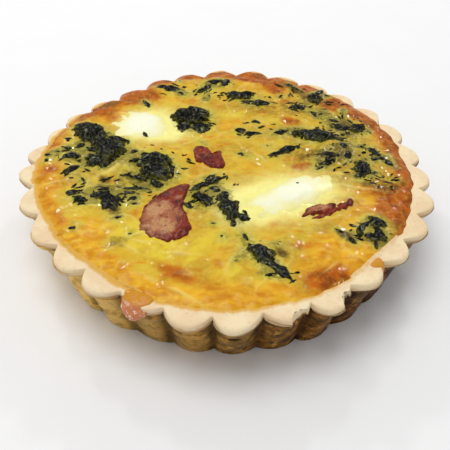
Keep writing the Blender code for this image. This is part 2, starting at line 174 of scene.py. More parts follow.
# Places of the leaves: x, y, length, width and turn, by the heap they lie in
LEAVES = {
    "spinach_left": (
        (-43.4, 14.8, 12.6, 8.0, -52), (-35.8, 6.8, 8.6, 7.6, -41), (-39.3, 0.8, 7.4, 5.0, -50),
        (-34.3, 12.3, 8.2, 2.6, -20), (-45.4, 8.6, 4.4, 1.8, 31), (-41.3, 6.4, 4.6, 2.2, -37),
        (-34.9, 0.4, 7.7, 1.6, 55), (-47.6, 19.6, 3.4, 1.6, 10), (-39.6, 9.8, 7.0, 5.0, -60),
    ),
    "spinach_left_rim": ((-47.3, 2.7, 6.8, 3.2, 19), (-45.5, -3.6, 5.6, 2.6, 52)),
    "spinach_front_left": (
        (-40.1, -17.4, 3.6, 3.6, 1), (-37.6, -15.2, 3.2, 1.4, 26), (-35.2, -12.8, 4.8, 2.2, 30),
        (-33.0, -17.6, 9.8, 4.6, -53), (-36.4, -15.6, 4.0, 2.6, 10),
    ),
    "spinach_centre": (
        (-21.6, 0.2, 9.2, 6.6, 12), (-20.9, -5.6, 9.6, 6.4, -9), (-20.1, -10.6, 4.0, 2.6, -42),
        (-27.8, 1.2, 4.2, 1.8, 9), (-28.4, 5.2, 2.4, 2.0, 15), (-24.9, 3.9, 3.2, 1.6, -11),
        (-28.6, -6.5, 5.0, 1.6, -26), (-25.3, -7.4, 4.2, 1.8, -38), (-16.2, -3.6, 8.3, 1.8, -76),
    ),
    "spinach_back": (
        (-12.4, 25.6, 11.4, 8.6, 4), (-14.2, 19.2, 4.6, 4.0, -14), (-8.6, 19.2, 5.4, 4.4, 8),
        (-8.4, 27.4, 5.0, 4.0, -35),
    ),
    "spinach_middle": (
        (-5.2, -9.6, 12.4, 2.4, 32), (-5.0, -6.8, 4.4, 1.8, 48), (-6.6, -16.6, 7.4, 3.4, -45),
        (-3.4, -12.6, 4.4, 2.2, -20),
    ),
    "spinach_diagonal": (
        (0.4, -20.6, 13.0, 4.2, -72), (4.2, -23.8, 4.4, 2.6, -10), (-0.5, -14.6, 3.4, 2.2, -43),
    ),
    "spinach_front": (
        (8.7, -37.2, 7.4, 4.0, -40), (12.2, -42.6, 13.6, 2.2, -41), (11.0, -44.6, 3.4, 1.2, 8),
        (13.4, -33.6, 2.4, 1.2, 17),
    ),
    "spinach_front_right": (
        (36.8, -26.6, 7.6, 2.2, 46), (40.4, -24.8, 5.8, 3.2, -28), (40.2, -28.8, 5.6, 2.6, -69),
        (38.4, -30.6, 4.6, 2.2, -12),
    ),
    "spinach_bar": ((28.3, 15.4, 14.4, 5.2, -14), (22.6, 17.4, 4.0, 2.2, -4)),
    "spinach_strip": ((17.6, 7.2, 12.0, 2.8, 34),),
    "spinach_right": (
        (30.6, 2.6, 8.0, 2.8, 48), (27.4, -1.4, 3.6, 1.6, 29), (27.6, 4.4, 4.4, 1.4, 53),
        (30.2, 5.6, 4.4, 2.0, 10),
    ),
    "spinach_oval": ((39.8, -1.6, 8.0, 4.0, 84),),
    "spinach_far_right": (
        (42.0, 20.6, 4.8, 4.4, 9), (37.0, 20.4, 6.0, 2.4, -5), (35.3, 22.2, 5.0, 1.5, -27),
        (34.9, 24.8, 4.6, 1.2, -18), (38.4, 17.4, 2.6, 1.4, -58),
    ),
    "spinach_back_middle": (
        (4.6, 40.2, 9.4, 4.6, 5), (11.0, 35.0, 5.6, 3.2, -20), (6.0, 35.2, 3.6, 2.0, -30),
    ),
    "spinach_back_left": ((-20.3, 43.4, 10.4, 2.6, -13), (-16.4, 40.4, 3.4, 1.4, -31)),
    "spinach_back_top": (
        (-7.6, 45.0, 10.4, 2.0, 44), (-4.8, 48.2, 6.6, 2.2, 16), (-1.0, 47.6, 4.6, 2.6, -11),
    ),
    "spinach_back_right": ((29.6, 38.6, 5.0, 4.0, 20), (31.8, 42.6, 6.4, 2.0, 50)),
}
# Loose shreds, too small to be pieces of their own
LOOSE_LEAVES = (
    (-52.0, 5.9, 2.4, 1.1, -5), (-49.1, 7.6, 3.2, 1.0, -6), (-41.5, -8.4, 3.0, 1.2, -43),
    (-43.8, -14.2, 4.4, 2.2, 28), (-54.4, 4.6, 2.8, 1.2, -12), (-54.3, 1.2, 1.8, 1.4, 60),
    (-29.2, -24.3, 2.6, 1.2, -4), (-40.4, -28.6, 2.6, 1.2, 6), (-26.2, -12.4, 9.5, 1.2, -1),
    (-28.0, -14.4, 5.6, 1.4, 1), (-26.0, -16.4, 2.8, 1.8, 10), (-25.3, -18.7, 2.4, 1.4, 1),
    (-10.6, -19.8, 4.0, 2.0, -46), (5.0, -31.4, 3.2, 1.4, -70), (-8.0, 10.8, 4.0, 1.1, -37),
    (-26.0, 14.6, 2.6, 1.2, -50), (-17.3, 48.6, 1.6, 1.3, 1), (-27.6, 33.9, 5.0, 1.6, -57),
    (-6.8, 39.2, 5.0, 1.2, 80), (-8.2, 38.0, 1.3, 1.3, 1), (4.0, 17.6, 4.0, 2.2, -41),
    (7.2, 15.6, 5.8, 2.2, 27), (8.8, 23.4, 2.8, 1.8, 1), (4.8, 4.6, 4.2, 1.5, -30),
    (16.6, 17.0, 6.4, 2.2, 28), (23.6, 32.6, 5.0, 3.2, -15), (34.5, 41.0, 2.6, 1.0, 1),
    (33.8, 28.2, 5.6, 1.0, -43), (28.5, 28.9, 4.0, 1.6, -53), (30.9, 28.6, 3.0, 1.1, 37),
    (38.2, 27.6, 5.3, 0.9, 84), (38.4, 30.8, 1.3, 1.3, 1), (44.8, 18.6, 1.4, 1.1, 1),
    (36.3, 10.4, 2.6, 2.2, 17), (36.7, 5.9, 6.0, 2.2, 74), (37.1, -6.0, 2.2, 1.0, 44),
    (43.2, -3.9, 3.2, 1.4, 37), (45.0, 7.4, 5.8, 2.0, -58), (45.3, 3.6, 6.2, 2.0, 14),
    (48.6, 1.8, 4.2, 2.0, -70), (41.6, 10.3, 1.3, 1.0, -77), (48.7, -6.6, 3.0, 1.2, 1),
    (29.6, -28.8, 3.8, 1.6, -50), (32.4, -31.8, 2.8, 1.4, -52), (2.4, -39.6, 2.6, 1.0, 40),
    (38.7, -33.2, 1.4, 1.5, 1), (18.6, 40.0, 2.2, 1.6, 20), (23.0, 46.6, 7.0, 1.4, -52),
    (11.6, -41.2, 1.6, 0.9, 60), (20.2, -9.6, 1.2, 0.7, 20), (-3.6, -26.6, 1.2, 0.8, 10),
    (-1.2, -31.6, 1.3, 0.9, 60), (-24.8, -31.0, 1.6, 0.9, -20), (12.0, 9.4, 1.8, 0.9, 30),
)
# Where small shreds lie strewn: x, y, length, width, turn and number
STREWN = (
    (-42.0, 4.0, 21, 26, 0, 44), (-32.0, -12.0, 26, 14, 10, 52), (-22.0, 1.0, 22, 18, 0, 26),
    (-6.0, -13.0, 20, 16, 30, 38), (-12.0, 22.0, 16, 14, 0, 14), (1.0, -22.0, 8, 15, -70, 8),
    (8.0, 18.0, 18, 10, 20, 16), (36.0, 4.0, 23, 20, 50, 50), (30.0, 17.0, 24, 12, -14, 20),
    (38.0, 22.0, 18, 14, -30, 32), (30.0, 33.0, 22, 14, 10, 30), (5.0, 38.0, 24, 10, 0, 24),
    (-12.0, 44.0, 30, 9, 10, 22), (11.0, -39.0, 18, 8, -42, 10), (38.0, -28.0, 11, 9, 20, 14),
    (46.0, -7.0, 12, 8, 10, 16), (-26.0, -16.0, 12, 8, 0, 12), (24.0, 43.0, 16, 9, -30, 12),
)
# Leaves that lie just under the custard's skin and only darken it: x, y, length, width, turn, strength
SUNKEN_LEAVES = (
    (-27.9, -33.9, 8, 6, 20, 0.62), (22.7, 46.0, 13, 4, -55, 0.9), (30.9, -30.3, 7, 4, -50, 0.8),
    (-35.2, -8.1, 6, 4, -40, 0.7), (-30.6, -21.0, 7, 5, -50, 0.8), (8.1, -43.9, 4, 3, -18, 0.5),
    (37.7, -31.4, 7, 4, -12, 0.6), (-39.8, 32.2, 11, 4, 35, 0.7), (47.0, -10.0, 12, 6, 10, 0.40),
    (13.9, -37.2, 7, 3.6, -55, 0.75), (38.4, 23.4, 9, 6, 60, 0.4), (7.2, 15.6, 8, 5, 27, 0.45),
    (-46.0, -9.0, 9, 6, -40, 0.35), (29.8, 38.6, 8, 7, 0, 0.4), (-8.0, -14.0, 9, 7, -45, 0.4),
    (41.0, -8.6, 8, 4, 0, 0.4), (33.4, 7.2, 8, 6, 60, 0.4), (23.6, 32.6, 7, 6, 0, 0.35),
    (39.0, 3.0, 19, 24, 0, 0.42), (34.0, 22.0, 26, 12, -25, 0.36), (28.0, 36.0, 20, 10, -30, 0.32),
    (-20.0, 45.0, 20, 8, 10, 0.3), (-41.0, 2.0, 16, 16, 0, 0.25),
)
# Custard mottled by finely chopped leaf in it: x, y, length, width, turn, strength
DUSKY = (
    (13.0, 32.5, 18, 9, 0, 1.0), (27.0, 31.5, 16, 10, -10, 0.8), (19.5, 17.0, 14, 9, -10, 0.8),
    (36.0, 17.0, 16, 14, -30, 0.6), (24.5, 4.8, 13, 9, 20, 1.0), (33.0, 4.5, 14, 12, 40, 0.9),
    (45.5, 4.5, 10, 22, 0, 0.6), (32.5, -6.0, 10, 6, 20, 0.7), (45.5, -9.0, 12, 10, 0, 0.6),
    (32.5, -17.0, 10, 6, 20, 0.5), (-30.0, -10.0, 15, 7, 10, 1.0), (-19.0, -9.8, 12, 6, 0, 0.7),
    (-5.9, -18.4, 9, 8, -40, 1.0), (3.9, 7.5, 12, 6, 10, 0.5), (24.0, -27.6, 11, 6, 20, 0.4),
    (16.2, -36.0, 8, 7, -40, 0.5), (-42.0, 2.0, 14, 14, 0, 0.5), (-28.0, 0.0, 12, 8, 0, 0.5),
)

# Colour of the custard's top. Each spot is x, y, length, width, turn, strength
SCORCHED = (
    (-30.5, 37.6, 15, 8, 12, 1.0), (-43.0, 31.4, 9, 7, 45, 0.5), (-53.4, 9.0, 9, 5, 78, 0.35),
    (41.0, -11.0, 9, 5, 0, 0.5), (9.0, 53.0, 17, 9, -8, 1.15), (-1.6, 55.0, 13, 7, 4, 0.75),
    (-13.6, 54.0, 13, 7, 14, 0.6), (-24.0, 48.6, 13, 8, 28, 0.7), (-36.4, 38.4, 15, 8, 44, 0.95),
    (-46.6, 28.0, 13, 7, 58, 0.9), (-53.6, 17.0, 12, 6, 72, 0.55), (37.0, 39.4, 17, 9, -42, 1.0),
    (43.6, 31.6, 12, 8, -54, 0.9), (50.6, 21.9, 15, 7, -66, 0.95), (55.0, 9.6, 13, 7, -80, 0.9),
    (54.6, -1.6, 11, 6, -92, 0.75), (50.4, -12.4, 10, 6, 80, 0.6), (44.8, -18.4, 15, 9, 62, 0.85),
    (43.8, -28.6, 12, 7, 55, 0.65), (24.6, -45.4, 15, 8, 26, 0.85), (17.0, 47.6, 8, 6, -50, 0.6),
    (24.0, 51.6, 10, 5, -24, 0.5), (-52.2, -3.2, 8, 7, 80, 0.7), (-51.6, -14.0, 14, 4, -70, 0.3),
    (-44.8, -24.0, 15, 5, -56, 0.42), (-11.4, -44.6, 17, 5.5, -30, 0.58), (-2.0, -40.6, 5, 3, -60, 0.45),
    (20.7, 23.9, 8, 5, -20, 0.75), (22.1, -0.6, 7, 5, 0, 0.75), (8.0, -50.4, 10, 4, 10, 0.35),
    (36.4, 13.6, 6, 4, 10, 0.4), (32.0, 46.0, 12, 7, -30, 0.8), (41.0, 37.0, 12, 9, -48, 0.7),
    (36.0, 35.4, 15, 10, -50, 0.8), (16.0, 44.0, 9, 6, -60, 0.6), (20.0, 38.0, 7, 5, -60, 0.45),
    (49.0, 2.0, 10, 10, 0, 0.35), (12.6, -26.4, 4, 5, 0, 0.4), (21.2, -33.6, 8, 5, 30, 0.35),
    (-38.0, 25.6, 8, 12, 30, 0.55),
)
GOLDEN = (
    (-35.7, -29.8, 11, 11, 0, 0.9), (-29.0, -43.0, 32, 9, -37, 0.7), (-2.0, -50.0, 46, 9, 3, 0.65),
    (28.0, -36.0, 28, 17, 38, 0.85), (40.0, -16.0, 22, 14, 60, 0.7), (6.4, -1.9, 9, 6, 0, 0.5),
    (-50.0, -8.0, 32, 9, 82, 0.8), (-0.3, 20.4, 8, 6, 0, 0.8), (-41.0, 27.0, 22, 9, 45, 0.7),
    (-15.0, 45.0, 30, 12, 20, 0.4), (10.0, 47.0, 34, 11, -8, 0.7), (40.0, 32.0, 30, 12, -48, 0.7),
    (50.0, 8.0, 34, 11, -80, 0.7), (-18.6, 36.0, 14, 6, 20, 0.45), (0.0, -38.6, 16, 7, -20, 0.45),
    (-22.0, 12.0, 14, 6, 20, 0.4), (12.0, 3.0, 12, 8, 30, 0.25), (33.0, 12.0, 8, 4, -20, 0.5),
    (14.0, 30.0, 8, 6, 0, 0.4), (-36.8, 26.4, 10, 8, 60, 0.8),
)
PALE = (
    (-19.7, -33.4, 26, 9, -8, 0.9), (-15.0, -38.6, 20, 6, -16, 0.5), (4.8, -45.6, 15, 9, -18, 0.7),
    (-27.4, -28.4, 9, 6, 20, 0.6), (-39.8, -21.6, 10, 6, -10, 0.5), (2.4, 27.8, 15, 5, 8, 0.8),
    (26.4, 23.4, 13, 5, -10, 0.6), (12.4, 20.4, 12, 8, 30, 0.45), (-2.6, -33.0, 14, 9, 10, 0.55),
    (-10.0, 3.0, 10, 14, 20, 0.35), (-30.0, -2.0, 16, 5, 30, 0.4), (8.0, -30.0, 12, 10, 0, 0.3),
    (-26.0, 4.0, 18, 4, 48, 0.55), (1.0, -6.0, 14, 12, 0, 0.35),
)
# Custard beside the cheese, whitened by it
CREAMY = (
    (16.6, -14.6, 34, 20, 20, 1.15), (5.6, -19.6, 16, 15, 20, 0.45), (-24.8, 21.2, 21, 19, 0, 1.2),
    (-18.6, 16.4, 14, 9, -20, 0.5), (-23.0, 17.0, 12, 8, 0, 0.4),
)

# Cheese and tomato, as seen from above: corners round the middle of the piece
CHEESE = {
    "cheese_right": ((18.6, -13.2), 1.3, (
        (-15.0, -8.6), (-13.0, -3.4), (-7.8, 1.6), (-2.5, 6.0), (2.6, 8.4), (8.4, 9.4), (13.2, 8.8),
        (14.2, 5.2), (11.4, 0.8), (7.2, -3.2), (1.8, -7.0), (-4.4, -9.8), (-10.8, -10.8),
    )),
    "cheese_left": ((-27.2, 23.0), 1.3, (
        (-11.0, -2.6), (-10.2, 3.0), (-8.0, 6.6), (-4.8, 7.8), (0.4, 7.4), (4.6, 4.2), (8.2, -0.6),
        (9.4, -5.6), (7.4, -10.2), (3.0, -11.8), (-2.4, -11.8), (-6.4, -10.2), (-9.4, -7.0),
    )),
}
TOMATO = {
    "tomato_large": ((-16.0, -21.8), 1.3, (
        (5.7, 11.6), (3.6, 12.0), (-0.3, 10.0), (-3.7, 6.2), (-6.9, 2.2), (-7.4, -3.0), (-7.0, -7.6),
        (-3.8, -10.2), (0.8, -11.4), (3.7, -10.6), (6.3, -9.0), (6.9, -6.0), (6.2, -3.0), (4.2, 1.4),
        (4.8, 6.6),
    )),
    "tomato_middle": ((-5.4, 3.9), 1.1, (
        (-5.0, 4.9), (-3.2, 5.3), (-0.8, 3.9), (0.9, 1.0), (1.8, -0.6), (3.6, 2.8), (4.2, -0.6),
        (5.0, -4.4), (4.6, -6.4), (1.5, -6.2), (-1.3, -4.8), (-3.8, -2.6), (-5.0, 1.0),
    )),
}
# The curled strip of tomato: x, y, length, width, turn
TOMATO_STRIP = (
    (26.0, -20.2, 11.0, 3.4, 22), (31.8, -18.6, 8.0, 2.2, 36), (27.0, -22.0, 8.6, 1.6, 28),
    (34.0, -16.8, 3.0, 1.8, 70),
)
# Where the tomato shows its paler inside: x, y, length, width, turn, strength
FLESH = (
    (-18.4, -24.6, 11, 13, 20, 1.1), (-19.0, -30.0, 9, 5, 0, 0.8), (-13.4, -16.6, 5, 5, 0, 0.35),
    (25.0, -20.4, 9, 3, 22, 0.9), (-8.4, 6.6, 3, 2, 0, 0.3),
)

# Small shiny blisters: x, y, width, height
BLISTERS = (
    (34.9, -20.7, 1.3, 0.5), (36.0, -21.8, 0.9, 0.4), (31.7, -26.0, 1.4, 0.5), (33.4, -27.8, 1.2, 0.4),
    (21.8, -30.0, 1.0, 0.4), (24.1, -35.1, 1.4, 0.4), (26.3, -37.5, 2.6, 0.6), (33.5, -38.8, 1.3, 0.4),
    (19.7, -44.4, 1.3, 0.4), (29.6, -44.5, 1.6, 0.5), (-52.5, 18.5, 2.2, 0.6), (9.4, 47.0, 2.0, 0.6),
    (0.4, 29.0, 1.6, 0.5), (4.4, 28.4, 1.4, 0.5), (-3.0, 29.2, 1.2, 0.4), (24.0, 22.4, 1.4, 0.4),
    (-9.4, -42.2, 0.9, 0.4), (42.0, 13.0, 1.2, 0.4), (46.0, 16.0, 1.0, 0.3), (45.8, -10.4, 1.6, 0.5),
    (48.6, -11.6, 1.3, 0.4), (3.2, -25.4, 1.2, 0.4), (27.4, 31.4, 1.2, 0.4), (36.6, 33.6, 1.4, 0.5),
)
# Raised wrinkles and threads: x, y, length, width, turn, height
WRINKLES = (
    (-12.6, -37.4, 9.0, 0.9, -8, 0.35), (-22.6, -30.6, 6.0, 0.9, 24, 0.4), (-21.0, -33.4, 8.0, 0.8, -6, 0.35),
    (-11.8, 10.6, 6.0, 0.8, 30, 0.35), (-16.2, 8.4, 5.0, 0.8, -12, 0.3), (-10.4, -50.6, 8.0, 1.0, -30, 0.4),
    (-50.0, -9.6, 7.0, 0.9, 12, 0.35), (-32.6, -1.6, 17.0, 1.8, 50, 0.5), (39.0, -10.8, 12.0, 0.9, -12, 0.3),
    (9.6, 4.0, 7.0, 0.9, -48, 0.3), (-24.4, -36.0, 7.0, 0.8, -30, 0.3), (18.0, 14.8, 8.0, 0.8, -24, 0.3),
    (26.0, -41.6, 5.0, 0.8, 40, 0.3), (4.0, -36.0, 6.0, 0.7, -50, 0.25), (-29.6, -36.4, 5.0, 0.8, 30, 0.3),
)

CAMERA_EYE = Vector((0.0, -0.1444, 0.1277))
CAMERA_AIM = Vector((-0.00036, -0.0258, 0.0202))
CAMERA_ROLL = math.radians(0.62)
CAMERA_LENS = 47.94
CAMERA_SENSOR = 36.0

AIR_BRIGHTNESS = 0.48
# Lamps: name, place, size and power
LAMPS = (
    ("overhead", (-0.18, 0.04, 0.95), 0.6, 4.3),
    ("spot_right", (0.26, 0.58, 0.47), 0.06, 0.62),
    ("spot_left", (-0.34, 0.54, 0.50), 0.06, 0.62),
)


def mix(a, b, share):
    return a + (b - a) * share


def within(value, low, high):
    return max(low, min(high, value))


def ramp(value, low, high):
    """0 below low, 1 above high and a soft step between them, for a number or an array."""
    share = np.clip((value - low) / (high - low), 0, 1)
    return share * share * (3 - 2 * share)


def tone(red, green, blue):
    """A colour given as it looks on a screen, 0 to 255, as the shader wants it."""
    def linear(level):
        level /= 255
        return level / 12.92 if level <= 0.04045 else ((level + 0.055) / 1.055) ** 2.4
    return (linear(red), linear(green), linear(blue), 1.0)


def drift(angle):
    """How far the flutes on the left have been pushed round from even spacing."""
    off = (angle - DRIFT_CENTRE + math.pi) % math.tau - math.pi
    return DRIFT * math.exp(-((off / DRIFT_SPREAD) ** 2))


def flute_phase(angle):
    """How many flutes lie between the first notch and this angle."""
    return ((angle + drift(angle) - FIRST_NOTCH) / math.tau * FLUTES) % FLUTES


def flute_angle(phase):
    """The angle that lies this many flutes past the first notch."""
    even = FIRST_NOTCH + phase * math.tau / FLUTES
    angle = even
    for _ in range(8):
        angle = even - drift(angle)
    return angle


def lobe(phase):
    """0 in a notch, about 1 at the tip of a lobe, and each lobe a little larger, smaller or leaning."""
    number = int(phase) % FLUTES
    swell = math.sin(math.pi * (phase % 1.0) ** LOBE_LEANS[number]) ** LOBE_ROUNDNESS
    rounded = math.hypot(swell, NOTCH_ROUNDNESS) - NOTCH_ROUNDNESS
    return rounded / (math.hypot(1, NOTCH_ROUNDNESS) - NOTCH_ROUNDNESS) * LOBE_SIZES[number]


def swollen(angle, height):
    """The factor by which the rim's swells and dents widen the quiche at this angle and height."""
    reach = 0
    for degrees, distance, spread in SWELLS:
        off = (math.degrees(angle) - degrees + 180) % 360 - 180
        reach += distance * MM * math.exp(-((off / spread) ** 2))
    return 1 + reach / RIM_TIP_RADIUS * min(height / RIM_HEIGHT, 1)


def sag(angle):
    """How much higher or lower than the mean the rim lies."""
    return RIM_UNEVENNESS * noise.noise(Vector((math.cos(angle), math.sin(angle), 0)) * 3)


def inner_radius(height):
    share = (height - BASE_THICKNESS) / (RIM_HEIGHT - BASE_THICKNESS)
    return mix(BASE_INNER_RADIUS, RIM_INNER_RADIUS, share)


def facing(angle, side):
    """1 on the side that lies at this angle, 0 on the far one, for a number or an array."""
    return 0.5 + 0.5 * np.cos(angle - side)


def turned(ahead, aside, turn):
    """Turns the distances ahead and aside by an angle in degrees."""
    cosine, sine = math.cos(math.radians(turn)), math.sin(math.radians(turn))
    return ahead * cosine - aside * sine, ahead * sine + aside * cosine


def backness(angle):
    """0 on the near side, 1 at the far side, where the custard puffed up and ran over the rim."""
    return facing(angle, FAR_SIDE) ** 3


def custard_height(x, y):
    radius, angle = math.hypot(x, y), math.atan2(y, x)
    dome = CUSTARD_DOME * (1 - (radius / FRONT_EDGE_RADIUS) ** 2)
    puff = BACK_PUFF * backness(angle) * math.exp(-(((radius - PUFF_RADIUS) / PUFF_WIDTH) ** 2))
    waves = CUSTARD_WAVES * noise.noise(Vector((x, y, 0)) / CUSTARD_WAVE_LENGTH)
    return CUSTARD_EDGE_HEIGHT + max(dome, 0) + puff + waves + EDGE_THICKNESS / 2


def custard_edge(angle):
    """How far out the custard reaches on top of the rim."""
    ripple = EDGE_RIPPLE * noise.noise(Vector((math.cos(angle), math.sin(angle), 2)) * 5)
    fray = EDGE_FRAY * noise.noise(Vector((math.cos(angle), math.sin(angle), 4)) * 19)
    reach = mix(FRONT_EDGE_RADIUS, BACK_EDGE_RADIUS, backness(angle)) + ripple + fray
    rim = mix(RIM_NOTCH_RADIUS, RIM_TIP_RADIUS, lobe(flute_phase(angle)))
    return min(reach, rim - SPILL_CLEARANCE)


# Mesh helpers

def placed(name, shape, material):
    """Makes the bmesh an object of the scene."""
    mesh = bpy.data.meshes.new(name)
    shape.to_mesh(mesh)
    shape.free()
    mesh.materials.append(material)
    piece = bpy.data.objects.new(name, mesh)
    bpy.context.scene.collection.objects.link(piece)
    return piece


def finished(name, shape, material, slot, *nodes):
    """Makes the bmesh a piece of the quiche that stands for the CAD nodes."""
    bmesh.ops.recalc_face_normals(shape, faces=shape.faces)
    keep_in_box(shape)
    piece = placed(name, shape, material)
    piece.data.shade_smooth()
    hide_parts(*nodes)
    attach(piece, "root")


def extruded(shape, loop):
    """Extrudes a loop of edges and gives the new edges and the new vertices."""
    made = bmesh.ops.extrude_edge_only(shape, edges=loop)["geom"]
    edges = [item for item in made if isinstance(item, bmesh.types.BMEdge)]
    return edges, [item for item in made if isinstance(item, bmesh.types.BMVert)]


def grain(point, length, seed=0.0):
    """Smooth noise between about -1 and 1, with features of this length."""
    return noise.noise(point / length + Vector((seed, seed * 0.7, seed * 1.3)))


def grains(x, y, length, seed=0.0):
    """The same noise at many points of the custard's top."""
    places = (Vector((a / length + seed, b / length, seed * 1.3)) for a, b in zip(x, y))
    return np.fromiter((noise.noise(place) for place in places), float, len(x))


def keep_in_box(shape):
    """Nothing stands out of the box of the CAD model."""
    for vertex in shape.verts:
        for axis in range(3):
            vertex.co[axis] = within(vertex.co[axis], CAD_LOW[axis], CAD_HIGH[axis])


# Shader helpers

def add(tree, kind, inputs=None, **settings):
    """A node with its settings, whose inputs are joined to sockets or set to values."""
    made = tree.nodes.new("ShaderNode" + kind)
    for name, value in settings.items():
        setattr(made, name, value)
    for socket, value in (inputs or {}).items():
        if isinstance(value, bpy.types.NodeSocket):
            tree.links.new(value, made.inputs[socket])
        else:
            made.inputs[socket].default_value = value
    return made


def blended(tree, share, first, second, how="MIX"):
    """Two colours mixed by a mask."""
    made = add(tree, "Mix", {0: share, 6: first, 7: second}, data_type="RGBA", blend_type=how)
    return made.outputs[2]


def layered(tree, colour, *coats):
    """Lays coats over a colour, each a mask, a tone or socket and, where it isn't a plain mix, its way."""
    for mask, over, *how in coats:
        over = over if isinstance(over, bpy.types.NodeSocket) else tone(*over)
        colour = blended(tree, mask, colour, over, *how)
    return colour


def sums(tree, how, first, second, third=0.0):
    made = add(tree, "Math", {0: first, 1: second, 2: third}, operation=how)
    return made.outputs[0]


def times(tree, first, second):
    return sums(tree, "MULTIPLY", first, second)


def stepped(tree, value, low, high, start=0.0, end=1.0):
    """A soft step of a value from low to high."""
    limits = {"Value": value, "From Min": low, "From Max": high, "To Min": start, "To Max": end}
    return add(tree, "MapRange", limits, interpolation_type="SMOOTHSTEP").outputs[0]


def mottled(tree, value, low, high, first, second):
    """Two tones mixed by a soft step of a value."""
    return blended(tree, stepped(tree, value, low, high), tone(*first), tone(*second))


def cloud(tree, scale, detail=3.0, roughness=0.55, stretch=None):
    """Noise on the object's own coordinates, where scale is the number of features to a metre."""
    place = add(tree, "TexCoord").outputs["Object"]
    if stretch:
        place = add(tree, "Mapping", {"Vector": place, "Scale": stretch}).outputs[0]
    settings = {"Vector": place, "Scale": scale, "Detail": detail, "Roughness": roughness}
    return add(tree, "TexNoise", settings).outputs[0]


def painted(tree, name):
    """A mask that the mesh carries."""
    return add(tree, "Attribute", attribute_name=name).outputs["Fac"]


def new_group(name, inputs, outputs):
    """An empty node group with float inputs, given as name and value, and outputs, as name and kind."""
    tree = bpy.data.node_groups.new(name, "ShaderNodeTree")
    for socket, value in inputs:
        made = tree.interface.new_socket(socket, in_out="INPUT", socket_type="NodeSocketFloat")
        made.default_value = value
    for socket, kind in outputs:
        tree.interface.new_socket(socket, in_out="OUTPUT", socket_type="NodeSocket" + kind)
    return tree, tree.nodes.new("NodeGroupInput").outputs, tree.nodes.new("NodeGroupOutput").inputs


def ragged_edge_group():
    """Turns a soft mask into one with a broken edge, such as a scorched patch or a stain has."""
    tree, given, out = new_group(
        "ragged_edge",
        [("Mask", 0.0), ("Grain", 500.0), ("Raggedness", 0.5), ("Softness", 0.2)],
        [("Mask", "Float")],
    )
    broken = cloud(tree, given["Grain"], 4.0, 0.6)
    centred = sums(tree, "SUBTRACT", broken, 0.5)
    shifted = sums(tree, "MULTIPLY_ADD", centred, given["Raggedness"], given["Mask"])
    low = sums(tree, "SUBTRACT", 0.5, given["Softness"])
    high = sums(tree, "ADD", 0.5, given["Softness"])
    tree.links.new(stepped(tree, shifted, low, high), out["Mask"])
    return tree


def crumb_group():
    """Fine unevenness of a baked or moist surface, as a normal."""
    tree, given, out = new_group(
        "crumb", [("Grain", 1500.0), ("Depth", 0.00008), ("Strength", 0.6)], [("Normal", "Vector")]
    )
    height = cloud(tree, given["Grain"], 5.0, 0.62)
    bump = add(tree, "Bump", {"Height": height, "Distance": given["Depth"], "Strength": given["Strength"]})
    tree.links.new(bump.outputs[0], out["Normal"])
    return tree


RAGGED_EDGE = ragged_edge_group()
CRUMB = crumb_group()


def ragged(tree, mask, grain_scale, raggedness, softness):
    """The mask with a broken edge."""
    inputs = {"Mask": mask, "Grain": grain_scale, "Raggedness": raggedness, "Softness": softness}
    return add(tree, "Group", inputs, node_tree=RAGGED_EDGE).outputs["Mask"]


def crumbs(tree, scale, depth, strength):
    """The normal of a surface with fine unevenness."""
    inputs = {"Grain": scale, "Depth": depth, "Strength": strength}
    return add(tree, "Group", inputs, node_tree=CRUMB).outputs["Normal"]


def new_finish(name, **constants):
    """A material's tree and its shader, with the values that are the same all over set on the shader."""
    material = bpy.data.materials.new(name)
    material.use_nodes = True
    tree = material.node_tree
    shader = tree.nodes["Principled BSDF"]
    for socket, value in constants.items():
        shader.inputs[socket.replace("_", " ")].default_value = value
    return material, tree, shader


def feed(tree, shader, **varied):
    """Joins the values that change over the surface to the shader."""
    for socket, value in varied.items():
        tree.links.new(value, shader.inputs[socket.replace("_", " ")])


# Pastry

def rounded_line(corners, spacing):
    """Points along a line through the corners, each a place and its own rounding."""
    points = []
    for number, (place, rounding) in enumerate(corners):
        if rounding and 0 < number < len(corners) - 1:
            before = (corners[number - 1][0] - place).normalized() * rounding
            after = (corners[number + 1][0] - place).normalized() * rounding
            steps = max(3, math.ceil(2 * rounding / spacing))
            for step in range(steps + 1):
                share = step / steps
                points.append(place + before * (1 - share) ** 2 + after * share ** 2)
        else:
            points.append(place)
    line = [points[0]]
    for point in points[1:]:
        run = point - line[-1]
        cuts = max(1, round(run.length / spacing))
        start = line[-1]
        line += [start + run * (step / cuts) for step in range(1, cuts + 1)]
    return line


